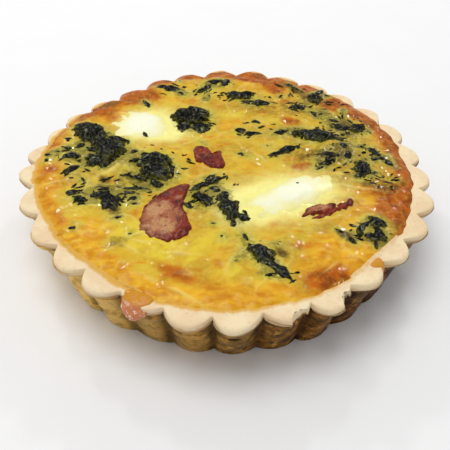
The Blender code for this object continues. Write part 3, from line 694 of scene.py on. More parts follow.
def case_section():
    """The section of the case at the tip of a lobe: underside, wall, lip, rim, inside and floor."""
    under_lip = RIM_HEIGHT - LIP_HEIGHT
    wall_top = mix(BASE_TIP_RADIUS, RIM_TIP_RADIUS, under_lip / RIM_HEIGHT) - LIP_OVERHANG
    inner_edge = RIM_HEIGHT - INNER_EDGE_DEPTH
    flat_end = BASE_TIP_RADIUS - 3 * FOOT_ROUNDING
    underside = rounded_line([(Vector((0, 0)), 0), (Vector((flat_end, 0)), 0)], COARSE_SPACING)
    outside = rounded_line(
        [
            (underside[-1], 0),
            (Vector((BASE_TIP_RADIUS, 0)), FOOT_ROUNDING),
            (Vector((wall_top, under_lip)), UNDER_LIP_ROUNDING),
            (Vector((RIM_TIP_RADIUS - LIP_TUCK, under_lip)), LIP_EDGE_ROUNDING),
            (Vector((RIM_TIP_RADIUS, RIM_HEIGHT)), RIM_ROUNDING),
            (Vector((RIM_INNER_RADIUS + INNER_EDGE_INSET, RIM_HEIGHT)), INNER_EDGE_ROUNDING),
            (Vector((inner_radius(inner_edge), inner_edge)), 0),
        ],
        FINE_SPACING,
    )
    inside = rounded_line(
        [
            (outside[-1], 0),
            (Vector((BASE_INNER_RADIUS, BASE_THICKNESS)), FOOT_ROUNDING),
            (Vector((0, BASE_THICKNESS)), 0),
        ],
        COARSE_SPACING,
    )
    return underside[:-1] + outside + inside[1:]


def fluted(point, phase):
    """Moves a point of the turned case in or out to its flute. The inner wall keeps its round shape."""
    radius = math.hypot(point.x, point.y)
    angle = flute_angle(phase)
    up = point.z / RIM_HEIGHT
    tip = mix(BASE_TIP_RADIUS, RIM_TIP_RADIUS, up)
    notch = mix(BASE_NOTCH_RADIUS, RIM_NOTCH_RADIUS, up)
    inner = inner_radius(point.z)
    outwards = within((radius - inner) / (tip - inner), 0.0, 1.0)
    moved = radius - outwards * (tip - notch) * (1 - lobe(phase))
    moved *= swollen(angle, point.z)
    return Vector((moved * math.cos(angle), moved * math.sin(angle), point.z + outwards * up * sag(angle)))


def slit_at(point):
    """1 in the middle of the wall's dark slit, 0 well away from it."""
    aside = (point.x / MM - SLIT[0]) / SLIT[2]
    above = (point.z / MM - SLIT[1]) / SLIT[3]
    return math.exp(-(aside * aside + above * above)) if point.y < 0 else 0.0


def baked_move(point, normal, rim, slit, outer):
    """How far baking roughened, slit or tore the case at this point."""
    layers = grain(Vector((point.x, point.y, point.z * 1.6)), 5 * MM, 4)
    lumps = grain(point, 2.4 * MM, 7)
    fine = grain(point, 0.8 * MM, 9)
    moved = Vector((0, 0, 0))
    if outer:
        dent = LAYER_DEPTH * (layers - 0.5) + LUMP_DEPTH * (lumps - 0.5) + GRAIN_DEPTH * (fine - 0.5)
        dent *= mix(1.0, RIM_ROUGHNESS, rim)
        dent -= rim * RIM_DIP * (1 - grain(point, 6 * MM, 12))
        moved = normal * (dent - SLIT_DEPTH * slit)
    for x, y, size in CHIPS:
        away = math.hypot(point.x / MM - x, point.y / MM - y) / size
        if away < 1 and point.z > RIM_HEIGHT - LIP_HEIGHT - 1 * MM:
            torn = (0.9 + 0.25 * fine + 0.3 * lumps) * CHIP_DEPTH * (1 - away) ** 0.4
            moved -= Vector((point.x, point.y, 0)).normalized() * torn
    return moved


def build_crust(material):
    shape = bmesh.new()
    section = [shape.verts.new((place.x, 0, place.y)) for place in case_section()]
    for first, second in zip(section, section[1:]):
        shape.edges.new((first, second))
    about = {"axis": (0, 0, 1), "cent": (0, 0, 0)}
    wire = shape.verts[:] + shape.edges[:]
    bmesh.ops.spin(shape, geom=wire, angle=math.tau / FLUTES, steps=STEPS_PER_FLUTE, **about)
    flute = shape.verts[:] + shape.edges[:] + shape.faces[:]
    bmesh.ops.spin(shape, geom=flute, angle=math.tau, steps=FLUTES, use_duplicate=True, **about)
    bmesh.ops.remove_doubles(shape, verts=shape.verts, dist=0.01 * MM)
    bmesh.ops.recalc_face_normals(shape, faces=shape.faces)
    names = ("rim", "valley_shade", "soak", "painted_lit_wall", "painted_shade_wall", "slit")
    masks = {name: shape.verts.layers.float.new(name) for name in names}
    for vertex in shape.verts:
        phase = (math.atan2(vertex.co.y, vertex.co.x) / math.tau * FLUTES) % FLUTES
        # How deep in a flute's valley the point lies, for the painted shade there
        vertex[masks["valley_shade"]] = 1 - lobe(phase)
        vertex.co = fluted(vertex.co, phase)
    shape.normal_update()
    under_lip = RIM_HEIGHT - LIP_HEIGHT
    moves = []
    for vertex in shape.verts:
        point = vertex.co
        radius, angle = math.hypot(point.x, point.y), math.atan2(point.y, point.x)
        outer = radius > inner_radius(point.z) + 0.5 * MM and point.z > 0.3 * MM
        rim = float(ramp(point.z, under_lip - 0.1 * MM, under_lip + 1.0 * MM))
        slit = slit_at(point) if outer else 0.0
        past_custard = radius - custard_edge(angle) * swollen(angle, point.z)
        soak = float(1 - ramp(past_custard, -0.3 * MM, 1.5 * MM)) * max(vertex.normal.z, 0)
        vertex[masks["rim"]] = rim
        vertex[masks["slit"]] = slit
        vertex[masks["soak"]] = soak * (1 - 0.8 * facing(angle, CLEAN_SIDE) ** 2)
        # Painted light on the left of the wall and painted shade on its right, by angle
        vertex[masks["painted_lit_wall"]] = facing(angle, LIT_WALL_SIDE) ** 6
        vertex[masks["painted_shade_wall"]] = facing(angle, SHADED_WALL_SIDE) ** 4
        moves.append(baked_move(point, vertex.normal, rim, slit, outer))
    for vertex, move in zip(shape.verts, moves):
        vertex.co += move
    finished("crust_baked", shape, material, "pastry", "crust")


def pastry_finish():
    """Pale cream on the rim, gold where custard soaked in, mottled brown and gold down the wall."""
    material, tree, shader = new_finish(
        "pastry_baked", Subsurface_Weight=0.06, Subsurface_Scale=0.002, Specular_IOR_Level=0.06
    )
    shader.inputs["Subsurface Radius"].default_value = (1.0, 0.6, 0.3)
    rim, golden = painted(tree, "rim"), painted(tree, "painted_lit_wall")
    broad, patchy = cloud(tree, 140, 3), cloud(tree, 420, 4, 0.6)
    smears = cloud(tree, 170, 4, 0.6, stretch=(1, 1, 2.2))
    # Fewer burnt spots where the wall is painted as lit
    unlit_share = sums(tree, "SUBTRACT", 1.0, times(tree, golden, 0.7))
    burnt = times(tree, stepped(tree, cloud(tree, 380, 4, 0.65), 0.48, 0.64, 0.0, 0.85), unlit_share)
    top = layered(
        tree, mottled(tree, broad, 0.35, 0.65, (248, 228, 188), (241, 213, 172)),
        (stepped(tree, cloud(tree, 760, 4, 0.7), 0.52, 0.72, 0.0, 0.45), (218, 184, 134)),
        (ragged(tree, painted(tree, "soak"), 700, 0.9, 0.35), (226, 176, 84)),
    )
    wall = layered(
        tree, mottled(tree, smears, 0.42, 0.58, (176, 112, 30), (96, 54, 10)),
        # Painted light: the left of the wall is made golden as if lit
        (times(tree, golden, 0.9), (254, 214, 120)),
        (stepped(tree, patchy, 0.52, 0.64), (236, 176, 80)),
        (stepped(tree, cloud(tree, 240, 3, 0.5), 0.52, 0.66, 0.0, 0.6), (140, 108, 36)),
        (burnt, (62, 32, 6)),
        # Painted shade: the right of the wall is darkened
        (times(tree, painted(tree, "painted_shade_wall"), 0.85), (150, 138, 120), "MULTIPLY"),
        # Painted shade: the wall is darkened in the valleys of the flutes
        (times(tree, stepped(tree, painted(tree, "valley_shade"), 0.30, 0.9), 0.7), (56, 32, 8)),
        # Painted shade: the slit is painted near black as the shade inside it
        (stepped(tree, painted(tree, "slit"), 0.15, 0.5), (20, 10, 4)),
    )
    edge = blended(tree, stepped(tree, rim, 0.30, 0.95), tone(178, 132, 72), top)
    feed(
        tree, shader,
        Base_Color=blended(tree, ragged(tree, rim, 600, 0.30, 0.22), wall, edge),
        Roughness=stepped(tree, rim, 0.2, 0.8, 0.38, 0.8),
        Normal=crumbs(tree, 1500, 0.00022, 0.8),
    )
    return material


# Custard

def to_disc(x, y):
    """Moves a point of the square from -1 to 1 to the unit disc, squares becoming circles."""
    reach = max(abs(x), abs(y))
    if reach == 0:
        return 0.0, 0.0
    if abs(x) >= abs(y):
        angle = math.pi / 4 * y / x + (math.pi if x < 0 else 0)
    else:
        angle = math.pi / 2 - math.pi / 4 * x / y + (math.pi if y < 0 else 0)
    return reach * math.cos(angle), reach * math.sin(angle)


def blobs(x, y, spots):
    """How strongly each point lies in soft oval spots: rows of x, y, length, width, turn and strength."""
    total = np.zeros_like(x)
    for spot_x, spot_y, length, width, turn, strength in spots:
        along, across = turned(x - spot_x * MM, y - spot_y * MM, -turn)
        total += strength * np.exp(-((along / (length * MM / 2)) ** 2 + (across / (width * MM / 2)) ** 2))
    return total


def rim_surface(radius, angle):
    """Height of the pastry's rounded rim at this place."""
    outline = mix(RIM_NOTCH_RADIUS, RIM_TIP_RADIUS, lobe(flute_phase(angle)))
    outwards = within((radius - RIM_INNER_RADIUS) / (outline - RIM_INNER_RADIUS), 0.0, 1.0)
    from_tip = (1 - outwards) * (RIM_TIP_RADIUS - RIM_INNER_RADIUS)
    fall = max(0.0, 1 - math.sqrt(from_tip / RIM_ROUNDING)) ** 2 * RIM_ROUNDING
    return RIM_HEIGHT - fall + outwards * sag(angle)


def blistered(x, y):
    """Blisters: placed ones, and many small ones strewn all over."""
    dice = random.Random(41)
    spots = list(BLISTERS)
    for _ in range(BLISTER_COUNT):
        angle, reach = dice.uniform(0, math.tau), BLISTER_REACH * math.sqrt(dice.random())
        size = dice.uniform(0.7, 1.3)
        rise = dice.uniform(0.04, 0.22) * size
        spots.append((reach * math.cos(angle), reach * math.sin(angle), size, rise))
    height = np.zeros_like(x)
    for spot_x, spot_y, width, rise in spots:
        away = np.hypot(x - spot_x * MM, y - spot_y * MM) / (width * MM)
        height += rise * MM * np.exp(-((away * 1.7) ** 2) ** 1.4)
    return height


def custard_masks(x, y, from_edge):
    """Where the custard's top is browned, golden, pale, creamy, green or threaded."""
    leaves = [leaf for heap in LEAVES.values() for leaf in heap] + list(LOOSE_LEAVES)
    halos = [(a, b, length * 1.3 + 2.2, width * 1.4 + 2.2, turn, 0.7) for a, b, length, width, turn in leaves]
    browned_side = facing(np.arctan2(y, x), SCORCHED_SIDE) ** 3
    scorched = blobs(x, y, SCORCHED) + 0.8 * (1 - ramp(from_edge, 1 * MM, 11 * MM)) * browned_side
    warped = x + 3 * MM * grains(x, y, 11 * MM, 15), y + 3 * MM * grains(x, y, 11 * MM, 17)
    fibres = ramp(1 - 2.6 * np.abs(grains(*warped, 5 * MM, 19)), 0.5, 1.0)
    fibres = fibres * ramp(grains(x, y, 9 * MM, 23), -0.25, 0.35) * (1 - 0.9 * ramp(scorched, 0.1, 0.6))
    masks = {
        "scorched": scorched,
        "golden": blobs(x, y, GOLDEN) + 0.8 * (1 - ramp(from_edge, 2 * MM, 6 * MM)),
        # Raised threads, painted paler: partly their own colour, partly a painted highlight
        "thread_highlight": np.minimum(0.8 * fibres + 5 * blobs(x, y, WRINKLES), 2.0),
        "pale": blobs(x, y, PALE),
        "creamy": blobs(x, y, CREAMY),
        "green": np.minimum(blobs(x, y, halos), 1),
        "sunken": blobs(x, y, SUNKEN_LEAVES),
        "dusky": blobs(x, y, DUSKY),
    }
    return masks, fibres


def uneven(x, y, relief):
    """Unevenness of a surface, from rows of height, length and seed."""
    return sum(rise * MM * grains(x, y, length * MM, seed) for rise, length, seed in relief)


def build_custard(material):
    shape = bmesh.new()
    bmesh.ops.create_grid(shape, x_segments=GRID_STEPS, y_segments=GRID_STEPS, size=1.0)
    for vertex in shape.verts:
        x, y = to_disc(vertex.co.x, vertex.co.y)
        share, angle = math.hypot(x, y), math.atan2(y, x)
        edge = custard_edge(angle) * swollen(angle, RIM_HEIGHT)
        vertex.co = (x * edge, y * edge, share)
    x, y, share = np.array([vertex.co[:] for vertex in shape.verts]).T
    radius = np.hypot(x, y)
    from_edge = radius / np.maximum(share, 0.001) - radius
    masks, fibres = custard_masks(x, y, from_edge)
    height = np.array([custard_height(a, b) for a, b in zip(x, y)]) + uneven(x, y, RELIEF)
    height += LEAF_HUMP * np.minimum(masks["green"], 0.8)
    height += MM * blobs(x, y, WRINKLES) + blistered(x, y) + THREAD_HEIGHT * fibres
    height += np.exp(-((from_edge / BORDER_WIDTH) ** 2)) * uneven(x, y, BORDER_RELIEF)
    rim = [rim_surface(reach, angle) for reach, angle in zip(radius, np.arctan2(y, x))]
    low = np.array(rim) - EDGE_SUNK
    height = low + (height - low) * np.sin(np.clip(from_edge / EDGE_SLOPE, 0, 1) * math.pi / 2)
    layers = {name: shape.verts.layers.float.new(name) for name in masks}
    for number, vertex in enumerate(shape.verts):
        vertex.co.z = height[number]
        for name, layer in layers.items():
            vertex[layer] = masks[name][number]
    loop = [edge for edge in shape.edges if edge.is_boundary]
    for drop, inward in CUSTARD_SIDE:
        loop, lowest = extruded(shape, loop)
        for vertex in lowest:
            reach = math.hypot(vertex.co.x, vertex.co.y)
            vertex.co.x *= (reach - inward * MM) / reach
            vertex.co.y *= (reach - inward * MM) / reach
            vertex.co.z -= drop * MM
    bmesh.ops.holes_fill(shape, edges=loop, sides=0)
    finished("custard_set", shape, material, "egg_custard", "custard")


def custard_finish():
    """Yellow, gold and brown by place, green round the leaves and white round the cheese."""
    material, tree, shader = new_finish(
        "egg_custard_baked", Coat_Weight=0.22, Coat_Roughness=0.06, Specular_IOR_Level=0.05,
        Subsurface_Weight=0.1, Subsurface_Scale=0.002,
    )
    shader.inputs["Subsurface Radius"].default_value = (1.0, 0.5, 0.15)
    broad, patchy, fine = cloud(tree, 90, 3), cloud(tree, 300, 4, 0.6), cloud(tree, 620, 3, 0.6)
    streaks = cloud(tree, 190, 4, 0.6, stretch=(1.0, 2.4, 1.0))
    scorched, green = painted(tree, "scorched"), painted(tree, "green")
    gold = mottled(tree, streaks, 0.4, 0.62, (240, 184, 42), (222, 152, 24))
    toasted = mottled(tree, patchy, 0.4, 0.62, (190, 98, 12), (152, 76, 10))
    haze = ragged(tree, times(tree, green, 1.15), 380, 0.8, 0.42)
    # Painted shade and painted highlights: near the leaves the custard is darkened and lightened in small
    # patches
    shade_near_leaves = times(tree, stepped(tree, cloud(tree, 430, 3, 0.6), 0.50, 0.64), green)
    highlights_near_leaves = times(tree, stepped(tree, cloud(tree, 360, 4, 0.6), 0.54, 0.66), green)
    speckles = ragged(tree, times(tree, green, 0.62), 950, 1.1, 0.10)
    mottles = stepped(tree, cloud(tree, 330, 5, 0.7), 0.40, 0.60, 0.15, 0.9)
    colour = layered(
        tree, mottled(tree, broad, 0.36, 0.64, (222, 192, 62), (218, 174, 44)),
        (stepped(tree, streaks, 0.50, 0.66), (224, 158, 30)),
        (ragged(tree, painted(tree, "pale"), 260, 0.6, 0.42), (230, 202, 58)),
        (ragged(tree, painted(tree, "golden"), 200, 0.8, 0.36), gold),
        (ragged(tree, times(tree, scorched, 1.35), 220, 0.7, 0.38), (204, 120, 12)),
        (ragged(tree, times(tree, scorched, 0.92), 260, 0.7, 0.30), toasted),
        (stepped(tree, cloud(tree, 150, 5, 0.68), 0.46, 0.62, 0.0, 0.42), (206, 158, 84), "MULTIPLY"),
        (times(tree, haze, 0.72), (192, 184, 72)),
        (times(tree, shade_near_leaves, 0.6), (124, 106, 36)),
        (times(tree, highlights_near_leaves, 0.6), (238, 222, 118)),
        # Paler along the raised threads: partly their own pale colour, partly a painted highlight on their
        # tops
        (times(tree, painted(tree, "thread_highlight"), 0.34), (246, 222, 118)),
        (ragged(tree, painted(tree, "creamy"), 190, 0.55, 0.42), (254, 246, 152)),
        (times(tree, speckles, 0.55), (86, 86, 34)),
        (times(tree, mottles, painted(tree, "dusky")), (138, 126, 84), "MULTIPLY"),
        (ragged(tree, painted(tree, "sunken"), 520, 0.7, 0.28), (96, 76, 22)),
        (stepped(tree, fine, 0.48, 0.70, 0.0, 0.2), (244, 212, 84)),
    )
    feed(
        tree, shader, Base_Color=colour, Roughness=stepped(tree, patchy, 0.3, 0.7, 0.32, 0.5),
        Normal=crumbs(tree, 1100, 0.0002, 0.6),
    )
    return material


def build_runs(material):
    """The two places where custard ran over the rim: flattened tongues, tipped outwards."""
    shape = bmesh.new()
    low_mask = shape.verts.layers.float.new("low")
    for number, (degrees, radius, height, length, width, thickness, tilt) in enumerate(RUNS):
        made = bmesh.ops.create_icosphere(shape, subdivisions=5, radius=0.5)["verts"]
        for vertex in made:
            ahead = vertex.co.x * 2
            vertex[low_mask] = ahead if number == 0 else -1.0
            vertex.co.y *= 0.94 - 0.14 * max(ahead, 0)
            vertex.co.z *= 1 - RUN_THINNING * (1 - ahead) / 2
            vertex.co.z -= 0.10 * ahead * ahead
        bmesh.ops.scale(shape, vec=(length * RUN_SHORTENING * MM, width * MM, thickness * MM), verts=made)
        for vertex in made:
            bulge = 0.30 * MM * grain(vertex.co, 2.6 * MM, number)
            bulge += 0.10 * MM * grain(vertex.co, 0.9 * MM, number + 3)
            vertex.co += vertex.co.normalized() * bulge
        angle = math.radians(degrees)
        bmesh.ops.rotate(shape, matrix=Matrix.Rotation(math.radians(tilt), 3, "Y"), verts=made)
        bmesh.ops.rotate(shape, matrix=Matrix.Rotation(angle, 3, "Z"), verts=made)
        reach = (radius - length * (1 - RUN_SHORTENING) / 2) * MM
        at = (reach * math.cos(angle), reach * math.sin(angle), height * MM)
        bmesh.ops.translate(shape, vec=at, verts=made)
        for vertex in made:
            edge = custard_edge(angle) * swollen(angle, RIM_HEIGHT)
            inside = edge - math.hypot(vertex.co.x, vertex.co.y)
            vertex.co.z -= RUN_FLATNESS * max(vertex.co.z - RIM_HEIGHT, 0)
            vertex.co.z -= RUN_SINKING * float(ramp(inside, -0.8 * MM, 1.4 * MM))
    finished("custard_runs", shape, material, "egg_custard", "custard")


def run_finish():
    """Golden where it leaves the custard and reddish brown at its low end, with painted glints there."""
    material, tree, shader = new_finish(
        "custard_run_over", Coat_Weight=0.35, Coat_Roughness=0.08, Specular_IOR_Level=0.06
    )
    low = ragged(tree, stepped(tree, painted(tree, "low"), -0.3, 0.7), 300, 0.6, 0.4)
    # Painted highlights: small pale glints painted on the run's low end
    painted_glints = stepped(tree, cloud(tree, 1100, 3), 0.56, 0.64, 0.0, 0.75)
    colour = layered(
        tree, blended(tree, low, tone(216, 148, 40), tone(212, 130, 88)),
        (stepped(tree, cloud(tree, 520, 4), 0.5, 0.66, 0.0, 0.7), (228, 156, 96)),
        (times(tree, painted_glints, low), (250, 226, 206)),
    )
    feed(
        tree, shader, Base_Color=colour, Roughness=stepped(tree, cloud(tree, 500, 3), 0.3, 0.7, 0.25, 0.45),
        Normal=crumbs(tree, 700, 0.0007, 1.0),
    )
    return material


# Pieces in the custard

def new_lumps():
    """An empty shape that carries the masks of a topping."""
    shape = bmesh.new()
    for mask in ("edge", "crest_highlight", "flesh"):
        shape.verts.layers.float.new(mask)
    return shape


def add_lump(shape, along_steps, across_steps, surface):
    """Adds a closed lump, its top moved by the surface function and its skirt sunk in the custard."""
    made = bmesh.ops.create_grid(shape, x_segments=along_steps, y_segments=across_steps, size=1.0)["verts"]
    edge_mask, crest_highlight_mask = shape.verts.layers.float["edge"], shape.verts.layers.float["crest_highlight"]
    for vertex in made:
        x, y = to_disc(vertex.co.x, vertex.co.y)
        share = math.hypot(x, y)
        vertex[edge_mask] = share
        vertex.co, vertex[crest_highlight_mask] = surface(x, y, share)
    middle = sum((vertex.co for vertex in made), Vector()) / len(made)
    sides = dict.fromkeys(edge for vertex in made for edge in vertex.link_edges if edge.is_boundary)
    loop, skirt = extruded(shape, list(sides))
    for vertex in skirt:
        vertex.co.x = mix(vertex.co.x, middle.x, SKIRT_INWARD)
        vertex.co.y = mix(vertex.co.y, middle.y, SKIRT_INWARD)
        vertex.co.z -= SKIRT_DEPTH
        vertex[edge_mask] = 1.0
    bmesh.ops.holes_fill(shape, edges=loop, sides=0)


def farthest_side(corners, far):
    """How far away the outline's last side lies between its middle and a far point, or 0."""
    sides = zip(corners, corners[1:] + corners[:1])
    hits = [intersect_line_line_2d((0, 0), far, Vector(first), Vector(second)) for first, second in sides]
    return max([hit.length for hit in hits if hit], default=0)


def on_topping(x, y):
    """Whether a point, in millimetres, lies on the cheese or the tomato."""
    for (middle_x, middle_y), _, corners in (*CHEESE.values(), *TOMATO.values()):
        away = Vector((x - middle_x, y - middle_y))
        if farthest_side(corners, away.normalized() * 100) > away.length:
            return True
    return False


def add_leaf(shape, x, y, length, width, turn, seed, thickness=1.0):
    """Adds a crumpled scrap of leaf. Its place and size are in millimetres and its turn in degrees."""
    length, width = length * LEAF_LENGTHENING, width * LEAF_WIDENING
    rise = (0.30 + 0.24 * width) * MM * thickness
    fray = min(0.26 * width, 1.2) * MM
    base = (ON_CHEESE_LIFT if on_topping(x, y) else 0.0) - LEAF_SUNK
    taper = 0.5 if length > 2 * width else 0.12
    bend = 0.10 * length * MM * math.sin(seed * 2.3)

    def surface(along, across, share):
        across *= 1 - taper * along * along
        side = across * width / 2 * MM + bend * (along * along - 0.4)
        moved_x, moved_y = turned(along * length / 2 * MM, side, turn)
        place = Vector((x * MM + moved_x, y * MM + moved_y, 0))
        outward = Vector((along / length, across / width)).normalized()
        strand = Vector((along * length * 0.16, across * width / 2, seed * 3))
        strand.y += 1.3 * noise.noise(strand * 0.5)
        wander = 1.5 * grain(strand, 0.9, 2) + 1.0 * grain(place, 1.1 * MM, seed + 5)
        place += Vector((*turned(outward.x, outward.y, turn), 0)) * fray * wander * share * share
        folds = 1 - 2.3 * abs(grain(strand, 1.3))
        creases = 1 - 2.3 * abs(grain(strand, 0.55, 4))
        swell = (1 - share ** 3) ** 0.55 * (0.50 + 0.38 * folds + 0.22 * creases)
        place.z = custard_height(place.x, place.y) + base + (rise + LEAF_SUNK) * swell
        return place, 0.6 * folds + 0.4 * creases

    add_lump(shape, max(8, round(length / LEAF_STEP)), max(6, round(width / LEAF_STEP)), surface)


def add_slivers(shape, leaf, dice):
    """Adds the frayed slivers that stick out round a broad leaf."""
    x, y, length, width, turn = leaf
    for _ in range(round(length * width / LEAF_AREA_PER_SLIVER)):
        angle = dice.uniform(0, math.tau)
        reach = dice.uniform(0.85, 1.12) / 2
        ahead, aside = turned(length * reach * math.cos(angle), width * reach * math.sin(angle), turn)
        sliver_turn = turn + math.degrees(angle) + dice.uniform(20, 130)
        size = (dice.uniform(1.4, 3.0), dice.uniform(0.5, 0.9))
        add_leaf(shape, x + ahead, y + aside, *size, sliver_turn, dice.uniform(0, 90))


def add_shreds(shape, dice):
    """Strews small shreds over the custard, but not on the cheese or the tomato."""
    for x, y, length, width, turn, number in STREWN:
        for _ in range(number):
            angle, reach = dice.uniform(0, math.tau), math.sqrt(dice.random()) / 2
            ahead, aside = turned(length * reach * math.cos(angle), width * reach * math.sin(angle), turn)
            size = (1.4 + 3.2 * dice.random() ** 2, dice.uniform(0.45, 0.9))
            shred_turn = turn + dice.uniform(-55, 55)
            if not on_topping(x + ahead, y + aside):
                seed = dice.uniform(0, 90)
                add_leaf(shape, x + ahead, y + aside, *size, shred_turn, seed, SHRED_THICKNESS)


def build_spinach(material):
    dice = random.Random(7)
    for name, heap in LEAVES.items():
        shape = new_lumps()
        for leaf in heap:
            add_leaf(shape, *leaf, dice.uniform(0, 90))
            if leaf[3] > 2.0:
                add_slivers(shape, leaf, dice)
        finished(name + "_leaves", shape, material, "spinach", name)
    shape = new_lumps()
    for leaf in LOOSE_LEAVES:
        add_leaf(shape, *leaf, dice.uniform(0, 90), SHRED_THICKNESS)
    add_shreds(shape, dice)
    finished("spinach_shreds", shape, material, "spinach", "custard")


def spinach_finish():
    """Nearly black leaf, with a painted highlight along the crests of its folds, olive at its thin edges, and
    moist.
    """
    material, tree, shader = new_finish(
        "spinach_cooked", Coat_Weight=0.3, Coat_Roughness=0.08, Specular_IOR_Level=0.02
    )
    patchy, fine = cloud(tree, 380, 3, 0.6), cloud(tree, 900, 4, 0.6)
    # Painted highlight: the leaf is lightened along the crests of its folds
    crest_highlight = times(tree, stepped(tree, painted(tree, "crest_highlight"), 0.7, 1.0), stepped(tree, fine, 0.42, 0.58))
    colour = layered(
        tree, mottled(tree, patchy, 0.42, 0.60, (3, 5, 3), (22, 23, 13)),
        (crest_highlight, (170, 168, 128)),
        (stepped(tree, fine, 0.56, 0.68), (72, 76, 34)),
        (ragged(tree, times(tree, painted(tree, "edge"), 0.58), 1100, 0.9, 0.12), (92, 90, 32)),
    )
    feed(
        tree, shader, Base_Color=colour, Roughness=stepped(tree, fine, 0.3, 0.7, 0.35, 0.6),
        Normal=crumbs(tree, 1500, 0.0005, 1.0),
    )
    return material


def outline_reach(corners, smoothing):
    """How far the outline lies from its middle at each degree, with its corners rounded off."""
    reaches = []
    for degree in range(360):
        far = Vector((math.cos(math.radians(degree)), math.sin(math.radians(degree)))) * 100
        reaches.append(farthest_side(corners, far) or (reaches[-1] if reaches else 0))
    window = np.hanning(smoothing + 2)
    return np.convolve(reaches * 3, window / window.sum(), "same")[360:720] * MM


def add_slab(shape, middle, reaches, rise, fray, seed, height_of):
    """Adds a lump with this outline, whose top stands up by the rise times the height function."""
    def surface(x, y, share):
        degrees = math.degrees(math.atan2(y, x)) % 360
        reach = float(np.interp(degrees, range(361), [*reaches, reaches[0]]))
        place = Vector((middle[0] * MM, middle[1] * MM, 0)) + Vector((x, y, 0)) * reach
        wander = 1.3 * grain(place, 3.4 * MM, seed) + 0.35 * grain(place, 0.9 * MM, seed + 4)
        place += Vector((x, y, 0)) * fray * wander * share
        height, crest_highlight = height_of(place, share)
        place.z = custard_height(place.x, place.y) + rise * height
        return place, crest_highlight

    steps = round(2 * max(reaches) / SLAB_STEP)
    add_lump(shape, steps, steps, surface)


def cheese_height(place, share):
    """A soft mound, whose edge runs under the custard at a shallow slope."""
    lumps = 0.85 + 0.30 * grain(place, 6 * MM, 2) + 0.10 * grain(place, 2 * MM, 3)
    return (1 - share ** 2) ** 1.1 * lumps - 0.16, 0.0


def build_cheese(material):
    for name, (middle, rise, corners) in CHEESE.items():
        shape = new_lumps()
        add_slab(shape, middle, outline_reach(corners, 40), rise * MM, 0.5 * MM, 3.0, cheese_height)
        finished(name + "_melted", shape, material, "soft_cheese", name)


def cheese_finish():
    """White in the middle and yellow where it thins out under the custard."""
    material, tree, shader = new_finish(
        "soft_cheese_melted", Roughness=0.42, Coat_Weight=0.15, Coat_Roughness=0.2, Specular_IOR_Level=0.2,
        Subsurface_Weight=0.2, Subsurface_Scale=0.003,
    )
    shader.inputs["Subsurface Radius"].default_value = (1.0, 0.8, 0.5)
    thin = ragged(tree, times(tree, painted(tree, "edge"), 0.74), 200, 0.8, 0.30)
    colour = blended(tree, thin, tone(255, 255, 224), tone(250, 238, 146))
    feed(tree, shader, Base_Color=colour, Normal=crumbs(tree, 700, 0.00012, 0.4))
    return material


def tomato_height(place, share):
    """Leathery folds, with the torn edge turned up a little."""
    folds = 1 - 2.2 * abs(grain(place, 2.6 * MM, 21))
    creases = 1 - 2.2 * abs(grain(place, 1.0 * MM, 24))
    lip = math.exp(-(((share - 0.82) / 0.12) ** 2))
    height = (1 - share ** 5) ** 0.6 * (0.56 + 0.26 * folds + 0.20 * creases + 0.22 * lip) - 0.1
    return height, 0.6 * folds + 0.4 * creases


def build_tomato(material):
    strip = new_lumps()
    for number, leaf in enumerate(TOMATO_STRIP):
        add_leaf(strip, *leaf, number * 3.0, 1.1)
    shapes = {"tomato_strip": strip}
    for name, (middle, rise, corners) in TOMATO.items():
        shapes[name] = new_lumps()
        add_slab(shapes[name], middle, outline_reach(corners, 5), rise * MM, 0.6 * MM, 8.0, tomato_height)
    for name, shape in shapes.items():
        flesh_mask = shape.verts.layers.float["flesh"]
        places = np.array([vertex.co[:2] for vertex in shape.verts])
        flesh = blobs(places[:, 0], places[:, 1], FLESH)
        for vertex, value in zip(shape.verts, flesh):
            vertex[flesh_mask] = value
        finished(name + "_torn", shape, material, "dried_tomato", name)


def tomato_finish():
    """Red skin, with a painted highlight on the crests of its folds that leaves the creases darker, and
    pinkish tan flesh where the slice shows its inside.
    """
    material, tree, shader = new_finish(
        "tomato_dried", Coat_Weight=0.36, Coat_Roughness=0.1, Specular_IOR_Level=0.06
    )
    patchy, fine = cloud(tree, 300, 4, 0.6), cloud(tree, 800, 3, 0.6)
    pulp = mottled(tree, patchy, 0.42, 0.62, (198, 146, 98), (170, 98, 62))
    colour = layered(
        tree, mottled(tree, patchy, 0.42, 0.62, (138, 44, 16), (90, 20, 8)),
        (ragged(tree, painted(tree, "flesh"), 230, 1.1, 0.22), pulp),
        (ragged(tree, times(tree, painted(tree, "edge"), 0.56), 420, 0.5, 0.10), (112, 30, 14)),
        (stepped(tree, fine, 0.60, 0.72), (88, 20, 12)),
        # Painted highlight: the skin is lightened on the crests of its folds
        (stepped(tree, painted(tree, "crest_highlight"), 0.7, 1.0, 0.0, 0.45), (206, 124, 92)),
    )
    feed(
        tree, shader, Base_Color=colour, Roughness=stepped(tree, fine, 0.3, 0.7, 0.28, 0.5),
        Normal=crumbs(tree, 1000, 0.0004, 0.9),
    )
    return material


# Surroundings

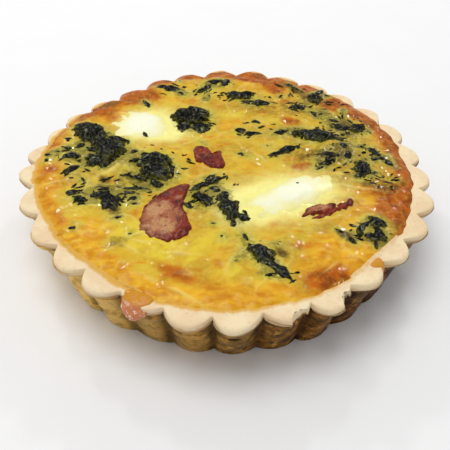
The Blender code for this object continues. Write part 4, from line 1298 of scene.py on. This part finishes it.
def floor_finish():
    material, tree, shader = new_finish("pale_table", Roughness=0.8)
    feed(tree, shader, Base_Color=blended(tree, cloud(tree, 40, 2), tone(250, 250, 250), tone(246, 246, 246)))
    return material


def build_floor():
    shape = bmesh.new()
    bmesh.ops.create_circle(shape, segments=96, radius=2.5, cap_ends=True)
    placed("table_top", shape, floor_finish())


def softbox(name, place, size, power):
    """A square lamp that shines on the quiche."""
    light = bpy.data.lights.new(name, "AREA")
    light.shape = "RECTANGLE"
    light.size = light.size_y = size
    light.energy = power
    lamp = bpy.data.objects.new(name, light)
    lamp.location = place
    lamp.rotation_mode = "QUATERNION"
    lamp.rotation_quaternion = (Vector(place) - Vector((0, 0, RIM_HEIGHT))).to_track_quat("Z", "Y")
    bpy.context.scene.collection.objects.link(lamp)


def light_studio():
    world = bpy.data.worlds.new("studio_air")
    world.use_nodes = True
    air = world.node_tree.nodes["Background"]
    air.inputs["Color"].default_value = (1.0, 1.0, 1.0, 1.0)
    air.inputs["Strength"].default_value = AIR_BRIGHTNESS
    for lamp in LAMPS:
        softbox(*lamp)
    scene = bpy.context.scene
    scene.world = world
    scene.view_settings.view_transform = "Standard"
    scene.view_settings.look = "None"
    scene.view_settings.exposure = 0.0


def place_camera():
    data = bpy.data.cameras.new("eye")
    data.lens = CAMERA_LENS
    data.sensor_width = CAMERA_SENSOR
    data.clip_start = 0.01
    camera = bpy.data.objects.new("eye", data)
    back = (CAMERA_EYE - CAMERA_AIM).normalized()
    right = Vector((0, 0, 1)).cross(back).normalized()
    up = back.cross(right)
    turned_right = right * math.cos(CAMERA_ROLL) + up * math.sin(CAMERA_ROLL)
    turned_up = up * math.cos(CAMERA_ROLL) - right * math.sin(CAMERA_ROLL)
    turn = Matrix((turned_right, turned_up, back)).transposed()
    camera.matrix_world = Matrix.Translation(CAMERA_EYE) @ turn.to_4x4()
    bpy.context.scene.collection.objects.link(camera)
    bpy.context.scene.camera = camera


build_crust(pastry_finish())
build_custard(custard_finish())
build_runs(run_finish())
build_cheese(cheese_finish())
build_spinach(spinach_finish())
build_tomato(tomato_finish())
build_floor()
light_studio()
place_camera()
